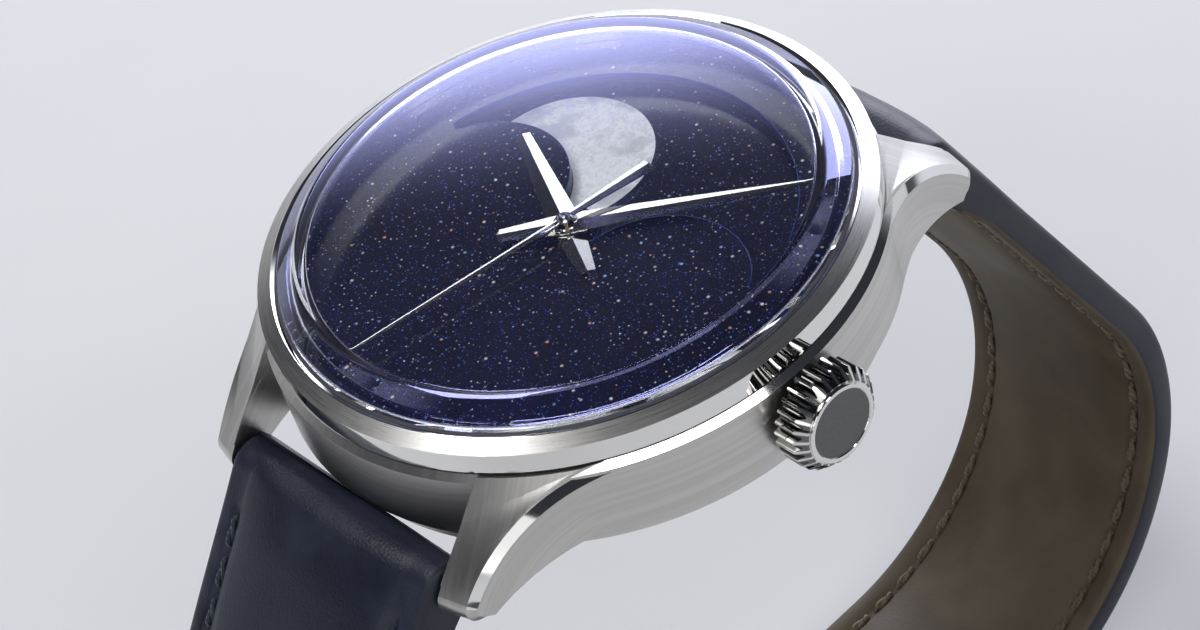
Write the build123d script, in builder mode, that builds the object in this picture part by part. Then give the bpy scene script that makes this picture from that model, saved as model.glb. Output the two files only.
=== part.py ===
from build123d import *
import os
from math import asin, atan2, cos, degrees, hypot, pi, radians, sin, sqrt, tan

# Moon phase wristwatch on a buckled leather strap, in millimetres.
# The watch stands on the flat bottom of its closed strap, dial upwards. The origin lies on
# the dial's axis at the floor, in the fixed keeper's flat face. +Z is up, +X points to the
# crown and +Y to 12 o'clock. Depths are measured downwards from the bright ring at the top of the bezel.

# Fits and gaps
running_gap = 0.05          # radial clearance of turning and sliding parts
seat_gap = 0.1              # between pieces that lie one on another
strap_gap = 0.15            # between leather layers, and from leather to metal
overrun = 1.0               # extra length of cutting shapes

# Middle case, whose radius carries the bezel, the case back, the lugs and the bars
flank_radius = 20.35
shelf_depth = 2.2
flank_depth = 7.35
flank_chamfer = 0.42
flank_wall = 2.35
back_bore_step = 0.4
back_bore_depth = 6.5
back_groove_width = 0.45
back_groove_height = 0.25
case_bore_radius = flank_radius - flank_wall
back_bore_radius = case_bore_radius + back_bore_step
back_groove_radius = back_bore_radius + back_groove_width

# Strap loop, seen from the side
bar_stand_off = 0.85        # spring bar outside the flank
bar_depth = 8.4
bar_reach = flank_radius + bar_stand_off
leg_slope = 63.2            # strap beside the wrist, degrees below level
leg_length = 30.5
bend_radius = 19.0          # at the middle of the leather
strap_thickness = 2.4
strap_offset = 0.9          # middle of the leather outside the bar
root_wedge = 9.0            # length over which the padded root thins out
strap_lug_width = 20.0
strap_buckle_width = 18.0
taper_foot = 14.0           # height where the strap reaches its buckle width
step_start_reach = 8.0      # long strap dips to the outer level between these, from the bar
step_end_reach = 1.2
tail_sweep = 22.0           # degrees that the tail climbs round the bend
hole_radius = 0.9
hole_reach = 10.0           # first free hole from the buckle's bar
hole_pitch = 6.5
hole_count = 5

# Keepers
keeper_wall = 1.2
keeper_width = 4.5
keeper_pitch = 4.8
free_keeper_wall = 1.05
keeper_corner = 0.8

# Buckle
buckle_bar_reach = 5.2      # bar from the fixed keeper's middle
buckle_bar_radius = 0.6
buckle_pin_radius = 0.4
buckle_pin_length = 1.1
buckle_eye_radius = 1.3
buckle_arm_width = 1.8
buckle_arm_gap = 0.3
buckle_reach = 11.3         # outer edge of the rail from the bar
buckle_rail_width = 2.2
buckle_rail_height = 2.2
buckle_edge = 0.5
tongue_width = 1.8
tongue_thickness = 0.9
tongue_eye_radius = 1.1
tongue_lift = 0.15
tongue_bend_reach = 8.7
tongue_overhang = 0.2
tongue_slot_gap = 0.3
tongue_hole_reach = 5.6
tongue_hole_set_back = 0.6
buckle_bar_y = -buckle_bar_reach
buckle_far_y = buckle_reach - buckle_bar_y
tongue_bend_y = tongue_bend_reach - buckle_bar_y
tongue_hole_start = tongue_hole_reach - buckle_bar_y
tongue_hole_end = buckle_bar_y - tongue_hole_set_back
step_start = step_start_reach - buckle_bar_y
step_end = buckle_bar_y - step_end_reach
hole_start = hole_reach - buckle_bar_y

# Spring bars
spring_bar_radius = 0.65
spring_pin_radius = 0.45
spring_pin_length = 1.2
bar_bore_gap = 0.05

# Bezel
bezel_set_back = 0.35       # bezel's band inside the flank
bezel_cone_width = 1.0
inner_edge_width = 0.25
inner_edge_depth = 0.12
bezel_cone_depth = 0.52
bezel_depth = 2.0
ledge_width = 0.7
ledge_depth = 1.35
skirt_set_back = 0.7
skirt_wall = 0.4
skirt_depth = 3.1
bezel_radius = flank_radius - bezel_set_back
ring_radius = bezel_radius - bezel_cone_width
inner_edge_radius = ring_radius - inner_edge_width
ledge_radius = inner_edge_radius - ledge_width
skirt_radius = bezel_radius - skirt_set_back

# Crystal and its gasket
gasket_wall = 0.25
crystal_foot_depth = 1.1
crystal_side_rise = 0.36
shoulder_width = 1.5
shoulder_rise = 1.42
shoulder_bulge = 0.16
crown_rise = 1.85
crystal_wall = 1.8
cavity_side_rise = 0.37
cavity_rise = 0.75
gasket_top_depth = 0.1
crystal_radius = inner_edge_radius - gasket_wall
shoulder_radius = crystal_radius - shoulder_width
cavity_radius = crystal_radius - crystal_wall

# Lugs: reaches are measured from the flank
lug_gap = 0.25
lug_root_angle = 34.85      # where the lug leaves the round flank, degrees from the crown
lug_tip_width = 2.45
lug_turn = 13.2             # lug direction off the 12 to 6 line, degrees
lug_crest_radius = 14.2
lug_crest_set_back = 7.35
lug_reach = 3.15            # lug's tip beyond the flank
lug_tip_radius = 1.08
lug_belly_length = 2.9
lug_belly_depth = 8.35
lug_heel_length = 6.5
lug_chamfer = 0.42
lug_hole_depth = 1.3
root_cone_inset = 0.15
root_cone_width = 1.7
root_cone_foot_depth = 4.3
lug_inner_x = strap_lug_width / 2 + lug_gap
lug_tip_x = lug_inner_x + lug_tip_width
lug_tip_reach = flank_radius + lug_reach
lug_tip_y = lug_tip_reach - lug_tip_radius
lug_crest_reach = flank_radius - lug_crest_set_back
lug_belly_reach = lug_tip_reach - lug_belly_length
lug_heel_reach = lug_tip_reach - lug_heel_length
lug_root_reach = lug_crest_reach - lug_tip_radius
root_cone_radius = flank_radius - root_cone_inset
root_cone_foot_radius = root_cone_radius + root_cone_width

# Case back
back_set_back = 1.05
back_flange_depth = 9.2
back_cone_width = 2.05
back_foot_depth = 10.6
back_inner_gap = 0.6
back_lip_depth = 9.25
back_lip_width = 0.9
back_glass_gasket_width = 0.3
back_glass_depth = 10.4
boss_clearance = 0.05
back_flange_radius = flank_radius - back_set_back
back_foot_radius = back_flange_radius - back_cone_width

# Crown, tube and stem
stem_depth = 5.65
stem_radius = 0.6
stem_inset = 4.0            # stem, pinion and their bay inside the movement's edge
stem_seat = 0.3
crown_radius = 3.4
flute_depth = 0.3
flute_count = 28
flute_tip_share = 0.12
flute_root_share = 0.5
crown_gap = 0.25
crown_edge = 0.15
crown_rim_length = 1.6
crown_length = 2.3
crown_face_radius = 2.78
rim_radius = 2.62
rim_rise = 0.15
field_radius = 2.28
field_depth = 0.1
crown_bore_radius = 1.9
crown_bore_length = 1.7
tube_radius = 1.4
tube_bore_radius = 0.75
tube_gap = 0.2
seal_inset = 0.15
seal_length = 0.55
crown_start = flank_radius + crown_gap
crown_shoulder = crown_start + crown_rim_length
crown_face = crown_start + crown_length
crown_bore_end = crown_start + crown_bore_length
tube_end = crown_bore_end - tube_gap
seal_start = crown_start + seal_inset
stem_end = crown_bore_end + stem_seat

# Winding pinion
winding_radius = 1.2
winding_length = 2.0
winding_inset = 3.5
winding_teeth = 14
tooth_height = 0.2
tooth_foot_share = 0.3      # half widths of a tooth, as shares of the pitch
tooth_tip_share = 0.14

# Dial
dial_radius = case_bore_radius - running_gap
dial_depth = 2.0
dial_thickness = 0.5
base_thickness = 0.4
dial_hole_radius = 1.3
window_overlap = 0.3        # dial over the moon disc's edge
bump_share = 0.565          # places and sizes in the window, as shares of its radius
bump_drop_share = 0.048
bump_radius_share = 0.4286
window_tip_radius = 0.45
hub_plate_radius = 2.05
foot_radius = 0.4
foot_length = 1.1

# Moon disc
disc_edge_gap = 0.2
disc_gap = 0.15
disc_thickness = 0.3
disc_hole_radius = 1.35
moon_share = 0.4            # moon and its orbit, as shares of the disc's radius
moon_orbit_share = 0.5333
moon_thickness = 0.15
moon_angle = 309.4          # visible moon, degrees clockwise from 12

# Hands: angles in degrees clockwise from 12
hour_angle = 296.0
minute_angle = 44.0
seconds_angle = 191.0
hour_depth = 1.85
minute_depth = 1.5
seconds_depth = 1.0
hour_reach = 10.2
hour_tip_width = 1.0
hour_hub_width = 2.1
hour_tail_reach = 4.5
hour_tail_width = 1.0
minute_reach = 15.9
minute_tip_width = 0.16
minute_hub_width = 1.9
minute_tail_reach = 4.3
minute_tail_width = 1.0
seconds_reach = 16.3
seconds_tip_width = 0.14
seconds_hub_width = 0.42
seconds_tail_reach = 6.5
seconds_tail_width = 1.1
hand_rise = 0.26
hand_tip_rise = 0.12
seconds_rise = 0.2
seconds_hub_radius = 0.75
seconds_pin_radius = 0.4
seconds_pin_rise = 0.3

# Motion work
arbor_radius = 0.25
boss_radius = 0.42
boss_rise = 0.6
cannon_radius = 0.75
cannon_leaf_radius = 0.88
cannon_leaves = 12
pipe_radius = 1.12
hour_wheel_radius = 2.85
hour_wheel_teeth = 32
hour_wheel_thickness = 0.35
driver_pinion_radius = 1.9
driver_pinion_leaves = 20
minute_wheel_radius = 2.67
minute_wheel_teeth = 36
minute_wheel_thickness = 0.2
minute_pinion_radius = 0.7
minute_pinion_leaves = 8
minute_wheel_turn = 60.0
post_radius = 0.22
driver_radius = 3.8
driver_teeth = 40
driver_thickness = 0.16
driver_turn = 225.0

# Movement
holder_width = 5.0
layout_parts = 26           # parts across the movement, in which its train is laid out
movement_radius = case_bore_radius - holder_width
layout_part = 2 * movement_radius / layout_parts
plate_depth = 3.62
plate_foot_depth = 5.3
holder_foot_depth = 6.45
disc_recess_set_back = 2.75
disc_recess_depth = 3.45
bridge_depth = 6.9
bridge_foot_depth = 7.6
train_depth = 5.75
wheel_thickness = 0.2
hub_radius = 0.5
pivot_radius = 0.18
pivot_length = 0.15
jewel_radius = 0.55
fourth_radius = 2.2 * layout_part
fourth_teeth = 48
third_radius = 2.7 * layout_part
third_teeth = 60
third_x = 2.2 * layout_part
third_y = 5.2 * layout_part
escape_radius = 1.9 * layout_part
escape_x = -0.8 * layout_part
escape_y = -5.0 * layout_part
escape_teeth = 20
escape_tooth_height = 0.45
wheel_rim = 0.4
spoke_width = 0.35
spoke_count = 5
fork_x = 1.7 * layout_part
fork_y = -7.5 * layout_part
fork_arm_width = 0.35
fork_half_width = 1.3 * layout_part
fork_thickness = 0.15
pallet_length = 1.5 * layout_part
lever_length = 2.6 * layout_part
fork_arbor_depth = 6.25
fork_foot_x = 1.2 * layout_part
fork_foot_y = -10.4 * layout_part
fork_cock_width = 1.2
fork_cock_thickness = 0.25
balance_x = 5.0 * layout_part
balance_y = -6.0 * layout_part
balance_radius = 4.2 * layout_part
balance_depth = 6.4
balance_rim = 0.45
hairspring_radius = 2.4 * layout_part
hairspring_width = 0.08
hairspring_turns = 3
hairspring_start = 0.6 * layout_part
hairspring_depth = 6.68
hairspring_height = 0.12
barrel_x = -6.8 * layout_part
barrel_y = 2.5 * layout_part
barrel_radius = 4.9 * layout_part
barrel_teeth = 80
barrel_height = 1.2
barrel_depth = 5.45
ratchet_radius = 3.2 * layout_part
ratchet_teeth = 44
ratchet_thickness = 0.2
barrel_arbor_radius = 0.6
bridge_set_back = 0.4
bridge_split_x = -1.6 * layout_part
bridge_slit = 0.3
pillar_reach = 11.2 * layout_part
barrel_pillar_angles = (202, 339, 248)
train_pillar_angles = (66, 358, 183)
bridge_notch_x = 1.4 * layout_part
bridge_notch_y = -1.4 * layout_part
pillar_radius = 0.7
cock_width = 3.0
screw_radius = 0.55
screw_rise = 0.12
screw_slot = 0.18
rotor_set_back = 0.7
rotor_rim_width = 2.7
rotor_depth = 7.95
rotor_web_thickness = 0.3
rotor_thickness = 0.95
rotor_hub_radius = 2.3
bearing_radius = 1.5
bearing_foot_depth = 8.45
rotor_screw_radius = 1.9
rotor_screw_thickness = 0.22
stem_bay_width = 3.0
stem_bay_inset = 4.1

# Heights and points that follow from the sizes
back_inner_radius = movement_radius + back_inner_gap
disc_recess_radius = dial_radius - disc_recess_set_back
foot_reach = (dial_radius + disc_recess_radius) / 2
disc_radius = disc_recess_radius - disc_edge_gap
moon_radius = moon_share * disc_radius
moon_orbit = moon_orbit_share * disc_radius
window_radius = disc_radius - window_overlap
bump_x = bump_share * window_radius
bump_y = -bump_drop_share * window_radius
bump_radius = bump_radius_share * window_radius
bridge_radius = movement_radius - bridge_set_back
rotor_radius = movement_radius - rotor_set_back
rotor_web_radius = rotor_radius - rotor_rim_width
stem_start = movement_radius - stem_inset
winding_start = movement_radius - winding_inset
stem_bay_start = movement_radius - stem_bay_inset
back_glass_radius = back_inner_radius + back_lip_width
leg_cos = cos(radians(leg_slope))
leg_sin = sin(radians(leg_slope))
half_leather = strap_thickness / 2
outer_floor = keeper_wall + seat_gap
inner_floor = outer_floor + strap_thickness + strap_gap
inner_middle = inner_floor + half_leather
outer_middle = outer_floor + half_leather
layer_step = inner_middle - outer_middle
bar_z = inner_middle + bend_radius + leg_length * leg_sin + (bend_radius - strap_offset) * leg_cos
ring_z = bar_z + bar_depth
bend_y = bar_reach + leg_length * leg_cos - (bend_radius - strap_offset) * leg_sin
bend_z = inner_middle + bend_radius
bend_sweep = 180 - leg_slope
root_radius = strap_offset + half_leather
inner_offset = strap_offset - half_leather
stem_z = ring_z - stem_depth
dial_foot_depth = dial_depth + dial_thickness + base_thickness
disc_depth = dial_foot_depth + disc_gap
disc_foot_depth = disc_depth + disc_thickness
strap_bore_radius = spring_bar_radius + bar_bore_gap
pivot_hole_radius = pivot_radius + running_gap
half_bottom = strap_buckle_width / 2
half_top = strap_lug_width / 2


def at_depth(depth):
    return Plane.XY.offset(ring_z - depth)


def turned(points):
    """Closed profile of radius and depth, to be revolved about the dial's axis."""
    with BuildSketch(Plane.XZ) as face:
        with BuildLine():
            Polyline(*[(radius, ring_z - depth) for radius, depth in points], close=True)
        make_face()
    return face.sketch


def side_face(points):
    """Closed outline of y and z in the plane across the crown."""
    with BuildSketch(Plane.YZ) as face:
        with BuildLine():
            Polyline(*points, close=True)
        make_face()
    return face.sketch


def dome_radius(half_chord, rise):
    return (half_chord ** 2 + rise ** 2) / (2 * rise)


def gear(plane, tip_radius, teeth, height, x=0, y=0):
    """Toothed disc whose teeth narrow towards their tips."""
    pitch = 2 * pi / teeth
    points = []
    for tooth in range(teeth):
        for share, radius in ((-tooth_foot_share, tip_radius - height),
                              (-tooth_tip_share, tip_radius), (tooth_tip_share, tip_radius),
                              (tooth_foot_share, tip_radius - height)):
            angle = (tooth + share) * pitch
            points.append((x + radius * cos(angle), y + radius * sin(angle)))
    with BuildSketch(plane) as face:
        with BuildLine():
            Polyline(*points, close=True)
        make_face()
    return face.sketch


def spokes_out(plane, outer, inner, x, y):
    """Windows between the rim and the hub of a wheel, parted by its spokes."""
    with BuildSketch(plane) as face:
        with Locations((x, y)):
            Circle(outer)
            Circle(inner, mode=Mode.SUBTRACT)
            with PolarLocations(0, spoke_count):
                Rectangle(outer, spoke_width, align=(Align.MIN, Align.CENTER), mode=Mode.SUBTRACT)
    return face.sketch


def disc(depth, radius, x=0, y=0):
    with BuildSketch(at_depth(depth)) as face:
        with Locations((x, y)):
            Circle(radius)
    return face.sketch


def on_clock(reach, angle):
    return (reach * sin(radians(angle)), reach * cos(radians(angle)))


def blade(angle, depth, reach, width, rise):
    """Three-sided cross-section of a hand, square to its length."""
    x, y = on_clock(reach, angle)
    aim = (sin(radians(angle)), cos(radians(angle)), 0)
    across = (-cos(radians(angle)), sin(radians(angle)), 0)
    with BuildSketch(Plane(origin=(x, y, ring_z - depth), x_dir=across, z_dir=aim)) as face:
        with BuildLine():
            Polyline((-width / 2, 0), (width / 2, 0), (0, rise), close=True)
        make_face()
    return face.sketch


def leg_point(side, along, out):
    """Point of the strap: along the leg from its bar, and out from the bar's line."""
    y = bar_reach + along * leg_cos + out * leg_sin
    return (side * y, bar_z - along * leg_sin + out * leg_cos)


def bend_arc(side, radius, sweep):
    return CenterArc((side * bend_y, bend_z), radius, -90, side * sweep)


def strap_root(side):
    """Edges of the padded root that rolls round the spring bar, down to the bend."""
    Line(leg_point(side, leg_length, root_radius), leg_point(side, 0, root_radius))
    ThreePointArc(leg_point(side, 0, root_radius), leg_point(side, -root_radius, 0),
                  leg_point(side, 0, -root_radius))
    Line(leg_point(side, 0, -root_radius), leg_point(side, root_wedge, inner_offset))
    Line(leg_point(side, root_wedge, inner_offset), leg_point(side, leg_length, inner_offset))


def taper_outline():
    """Strap seen from 12 o'clock: it narrows from the lugs to the buckle."""
    with BuildSketch(Plane.XZ) as face:
        with BuildLine():
            Polyline((-half_bottom, -overrun), (half_bottom, -overrun), (half_bottom, taper_foot),
                     (half_top, bar_z), (half_top, ring_z), (-half_top, ring_z),
                     (-half_top, bar_z), (-half_bottom, taper_foot), close=True)
        make_face()
    return face.sketch


def case_clearance():
    """Room for the case between the two strap roots."""
    reach = flank_radius + strap_gap
    back_reach = back_flange_radius + strap_gap
    return turned([(0, shelf_depth), (reach, shelf_depth), (reach, flank_depth + strap_gap),
                   (back_reach, flank_depth + strap_gap), (back_reach, back_flange_depth),
                   (back_foot_radius + strap_gap, back_foot_depth), (0, back_foot_depth)])


# Bezel: bright inner edge, shallow brushed cone, polished band, skirt and crystal ledge
with BuildPart() as bezel:
    revolve(turned([
        (inner_edge_radius, inner_edge_depth), (ring_radius, 0), (bezel_radius, bezel_cone_depth),
        (bezel_radius, bezel_depth), (skirt_radius, bezel_depth), (skirt_radius, skirt_depth),
        (skirt_radius - skirt_wall, skirt_depth), (skirt_radius - skirt_wall, bezel_depth),
        (ledge_radius, bezel_depth), (ledge_radius, ledge_depth),
        (inner_edge_radius, ledge_depth)]), axis=Axis.Z)

# Box crystal: domed top with a rounded shoulder over a straight-walled cavity
with BuildPart() as crystal:
    with BuildSketch(Plane.XZ):
        with BuildLine():
            Polyline((cavity_radius, ring_z + cavity_side_rise),
                     (cavity_radius, ring_z - crystal_foot_depth),
                     (crystal_radius, ring_z - crystal_foot_depth),
                     (crystal_radius, ring_z + crystal_side_rise))
            SagittaArc((crystal_radius, ring_z + crystal_side_rise),
                       (shoulder_radius, ring_z + shoulder_rise), -shoulder_bulge)
            RadiusArc((shoulder_radius, ring_z + shoulder_rise), (0, ring_z + crown_rise),
                      -dome_radius(shoulder_radius, crown_rise - shoulder_rise))
            Line((0, ring_z + crown_rise), (0, ring_z + cavity_rise))
            RadiusArc((0, ring_z + cavity_rise), (cavity_radius, ring_z + cavity_side_rise),
                      dome_radius(cavity_radius, cavity_rise - cavity_side_rise))
        make_face()
    revolve(axis=Axis.Z)

# Crystal gasket: a dark ring round and under the crystal's foot
with BuildPart() as crystal_gasket:
    revolve(turned([
        (ledge_radius, ledge_depth), (inner_edge_radius, ledge_depth),
        (inner_edge_radius, gasket_top_depth), (crystal_radius, gasket_top_depth),
        (crystal_radius, crystal_foot_depth), (ledge_radius, crystal_foot_depth)]), axis=Axis.Z)

# Middle case with its four lugs, which sweep down from the round flank
lug_leave = (flank_radius * cos(radians(lug_root_angle)), flank_radius * sin(radians(lug_root_angle)))
lug_aim = (sin(radians(lug_turn)), cos(radians(lug_turn)), 0)
lug_across = (cos(radians(lug_turn)), -sin(radians(lug_turn)), 0)
crest_inner = lug_crest_radius - lug_tip_radius
crest_run = lug_tip_reach - lug_crest_reach
tip_depth = shelf_depth + lug_crest_radius - sqrt(crest_inner ** 2 - crest_run ** 2)
crest_angle = asin(crest_run / crest_inner)
crest_half = crest_angle / 2
lug_side_plane = Plane(origin=(0, 0, 0), x_dir=lug_aim, z_dir=lug_across)


def crest_point(angle, radius):
    """Point on the crest's arc, by its angle from the top."""
    return (lug_crest_reach + radius * sin(angle),
            ring_z - shelf_depth - lug_crest_radius + radius * cos(angle))


with BuildPart() as lug:
    with BuildSketch(at_depth(back_foot_depth)):
        with BuildLine():
            TangentArc(lug_leave, (lug_tip_x, lug_tip_y),
                       tangent=(-sin(radians(lug_root_angle)), cos(radians(lug_root_angle))))
            Polyline((lug_tip_x, lug_tip_y), (lug_tip_x, lug_tip_reach + overrun),
                     (lug_inner_x, lug_tip_reach + overrun), (lug_inner_x, lug_leave[1]), lug_leave)
        make_face()
    extrude(amount=back_foot_depth)
    with BuildSketch(lug_side_plane):
        with BuildLine():
            ThreePointArc(crest_point(0, lug_crest_radius), crest_point(crest_half, lug_crest_radius),
                          crest_point(crest_angle, lug_crest_radius))
            ThreePointArc(crest_point(crest_angle, lug_crest_radius),
                          (lug_tip_reach + lug_tip_radius, ring_z - tip_depth),
                          (lug_tip_reach, ring_z - tip_depth - lug_tip_radius))
            ThreePointArc((lug_tip_reach, ring_z - tip_depth - lug_tip_radius),
                          (lug_belly_reach, ring_z - lug_belly_depth),
                          (lug_heel_reach, ring_z - flank_depth))
            Polyline((lug_heel_reach, ring_z - flank_depth), (lug_root_reach, ring_z - flank_depth),
                     (lug_root_reach, ring_z - shelf_depth), (lug_crest_reach, ring_z - shelf_depth))
        make_face()
    extrude(amount=2 * flank_radius, both=True, mode=Mode.INTERSECT)
    outer_side = lug.faces().filter_by(lambda face: face.normal_at().X > 0.5).sort_by(Axis.X)[-1]
    crest_edges = outer_side.edges().filter_by(lambda edge: edge.center().Z > ring_z - back_flange_depth)
    chamfer(crest_edges.sort_by(Axis.Z)[-2:], lug_chamfer)

# Cone that blends the shelf between the lugs into each lug's crest
with BuildPart() as lug_root:
    revolve(turned([
        (case_bore_radius, shelf_depth), (root_cone_radius, shelf_depth),
        (root_cone_foot_radius, root_cone_foot_depth), (case_bore_radius, root_cone_foot_depth)]),
        axis=Axis.Z)
    with BuildSketch(at_depth(back_foot_depth)):
        with BuildLine():
            TangentArc(lug_leave, (lug_tip_x, lug_tip_y),
                       tangent=(-sin(radians(lug_root_angle)), cos(radians(lug_root_angle))))
            Polyline((lug_tip_x, lug_tip_y), (lug_inner_x, lug_tip_y), (lug_inner_x, lug_leave[1]),
                     lug_leave)
        make_face()
        offset(amount=-lug_chamfer, mode=Mode.REPLACE)
        with Locations((lug_inner_x, lug_leave[1])):
            Rectangle(lug_chamfer, lug_tip_y - lug_leave[1] - lug_chamfer,
                      align=(Align.MIN, Align.MIN))
    extrude(amount=back_foot_depth, mode=Mode.INTERSECT)

with BuildPart() as mid_case:
    add(lug.part)
    add(lug_root.part)
    mirror(about=Plane.YZ)
    mirror(about=Plane.XZ)
    revolve(turned([
        (case_bore_radius, shelf_depth), (flank_radius - flank_chamfer, shelf_depth),
        (flank_radius, shelf_depth + flank_chamfer), (flank_radius, flank_depth),
        (case_bore_radius, flank_depth)]), axis=Axis.Z)
    revolve(turned([
        (0, 0), (skirt_radius, 0), (skirt_radius, skirt_depth), (case_bore_radius, skirt_depth),
        (case_bore_radius, back_bore_depth), (back_bore_radius, back_bore_depth),
        (back_bore_radius, flank_depth - back_groove_height),
        (back_groove_radius, flank_depth - back_groove_height),
        (back_groove_radius, flank_depth), (back_flange_radius + seat_gap, flank_depth),
        (back_flange_radius + seat_gap, back_foot_depth), (0, back_foot_depth)]),
        axis=Axis.Z, mode=Mode.SUBTRACT)
    with BuildSketch(Plane.YZ):
        with Locations((0, stem_z)):
            Circle(tube_radius)
    extrude(amount=flank_radius + overrun, mode=Mode.SUBTRACT)
    with BuildSketch(Plane.YZ):
        with Locations((bar_reach, bar_z), (-bar_reach, bar_z)):
            Circle(spring_pin_radius + running_gap)
    extrude(amount=lug_inner_x + lug_hole_depth, both=True, mode=Mode.SUBTRACT)

# Case back with its bearing lip, glass and gaskets
with BuildPart() as case_back:
    revolve(turned([
        (back_inner_radius, holder_foot_depth + seat_gap),
        (back_bore_radius - boss_clearance, holder_foot_depth + seat_gap),
        (back_bore_radius - boss_clearance, flank_depth), (back_flange_radius, flank_depth),
        (back_flange_radius, back_flange_depth), (back_foot_radius, back_foot_depth),
        (back_glass_radius + back_glass_gasket_width, back_foot_depth),
        (back_glass_radius + back_glass_gasket_width, back_lip_depth),
        (back_inner_radius, back_lip_depth)]), axis=Axis.Z)

with BuildPart() as case_back_gasket:
    revolve(turned([
        (back_bore_radius, flank_depth - back_groove_height),
        (back_groove_radius, flank_depth - back_groove_height),
        (back_groove_radius, flank_depth), (back_bore_radius, flank_depth)]), axis=Axis.Z)

with BuildPart() as case_back_glass:
    revolve(turned([
        (0, back_lip_depth), (back_glass_radius, back_lip_depth),
        (back_glass_radius, back_glass_depth), (0, back_glass_depth)]), axis=Axis.Z)

with BuildPart() as back_glass_gasket:
    revolve(turned([
        (back_glass_radius, back_lip_depth),
        (back_glass_radius + back_glass_gasket_width, back_lip_depth),
        (back_glass_radius + back_glass_gasket_width, back_glass_depth),
        (back_glass_radius, back_glass_depth)]), axis=Axis.Z)

# Crown with its seal, on a stem that runs in a fixed tube
crown_plane = Plane(origin=(0, 0, stem_z), x_dir=(0, 1, 0), z_dir=(1, 0, 0))


def stem_turned(points):
    """Closed profile of x and radius, to be revolved about the stem's axis."""
    with BuildSketch(Plane.XZ) as face:
        with BuildLine():
            Polyline(*[(x, stem_z + radius) for x, radius in points], close=True)
        make_face()
    return face.sketch


stem_axis = Axis((0, 0, stem_z), (1, 0, 0))
with BuildPart() as crown:
    revolve(stem_turned([
        (crown_start, crown_bore_radius), (crown_start, crown_radius - crown_edge),
        (crown_start + crown_edge, crown_radius), (crown_shoulder, crown_radius),
        (crown_face, crown_face_radius), (crown_face, rim_radius),
        (crown_face + rim_rise, rim_radius - rim_rise), (crown_face + rim_rise, field_radius),
        (crown_face + rim_rise - field_depth, field_radius),
        (crown_face + rim_rise - field_depth, 0), (stem_end, 0), (stem_end, stem_radius),
        (crown_bore_end, stem_radius), (crown_bore_end, crown_bore_radius)]), axis=stem_axis)
    flute_pitch = 2 * pi / flute_count
    flute_points = []
    for flute in range(flute_count):
        for share, radius in ((-flute_root_share, crown_radius - flute_depth),
                              (-flute_tip_share, crown_radius), (flute_tip_share, crown_radius)):
            angle = (flute + share) * flute_pitch
            flute_points.append((radius * cos(angle), radius * sin(angle)))
    with BuildSketch(crown_plane):
        with BuildLine():
            Polyline(*flute_points, close=True)
        make_face()
    extrude(amount=crown_face + rim_rise, mode=Mode.INTERSECT)

with BuildPart() as crown_tube:
    revolve(stem_turned([
        (back_bore_radius, tube_bore_radius), (back_bore_radius, tube_radius),
        (tube_end, tube_radius), (tube_end, tube_bore_radius)]), axis=stem_axis)

with BuildPart() as crown_seal:
    revolve(stem_turned([
        (seal_start, tube_radius + running_gap), (seal_start, crown_bore_radius),
        (seal_start + seal_length, crown_bore_radius),
        (seal_start + seal_length, tube_radius + running_gap)]), axis=stem_axis)

with BuildPart() as winding_stem:
    revolve(stem_turned([
        (stem_start, 0), (stem_start, stem_radius), (stem_end, stem_radius), (stem_end, 0)]),
        axis=stem_axis)

with BuildPart() as winding_pinion:
    extrude(gear(crown_plane.offset(winding_start), winding_radius, winding_teeth, tooth_height),
            amount=winding_length)
    with BuildSketch(crown_plane.offset(winding_start)):
        Circle(stem_radius + running_gap)
    extrude(amount=winding_length, mode=Mode.SUBTRACT)

# Ring that holds the movement, the dial and its feet
with BuildPart() as movement_holder:
    revolve(turned([
        (disc_recess_radius, dial_foot_depth), (dial_radius, dial_foot_depth),
        (dial_radius, holder_foot_depth), (movement_radius + running_gap, holder_foot_depth),
        (movement_radius + running_gap, disc_recess_depth),
        (disc_recess_radius, disc_recess_depth)]), axis=Axis.Z)
    with BuildSketch(Plane.YZ):
        with Locations((0, stem_z)):
            Circle(stem_radius + running_gap)
    extrude(amount=flank_radius, mode=Mode.SUBTRACT)
    with BuildSketch(at_depth(dial_foot_depth)):
        with Locations((0, foot_reach), (0, -foot_reach)):
            Circle(foot_radius + running_gap)
    extrude(amount=-foot_length - seat_gap, mode=Mode.SUBTRACT)

# Dial with the moon window: two round shoulders, blunt side tips and a notch at the hub
tip_outer = window_radius - window_tip_radius
tip_inner = bump_radius + window_tip_radius
bump_reach = hypot(bump_x, bump_y)
tip_along = (tip_outer ** 2 - tip_inner ** 2 + bump_reach ** 2) / (2 * bump_reach)
tip_aside = sqrt(tip_outer ** 2 - tip_along ** 2)
tip_x = (tip_along * bump_x - tip_aside * bump_y) / bump_reach
tip_y = (tip_along * bump_y + tip_aside * bump_x) / bump_reach
tip_share = (window_radius + overrun) / tip_outer
with BuildSketch() as moon_window:
    Circle(window_radius)
    with Locations((0, bump_y)):
        Rectangle(2 * window_radius, 2 * window_radius, align=(Align.CENTER, Align.MAX),
                  mode=Mode.SUBTRACT)
    for side in (-1, 1):
        with BuildLine():
            Polyline((side * bump_x, bump_y), (side * tip_x, tip_y),
                     (side * tip_x * tip_share, tip_y * tip_share),
                     (side * window_radius * tip_share, bump_y), close=True)
        make_face(mode=Mode.SUBTRACT)
    with Locations((bump_x, bump_y), (-bump_x, bump_y)):
        Circle(bump_radius, mode=Mode.SUBTRACT)
    Circle(hub_plate_radius, mode=Mode.SUBTRACT)
    with Locations((tip_x, tip_y), (-tip_x, tip_y)):
        Circle(window_tip_radius)

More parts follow.
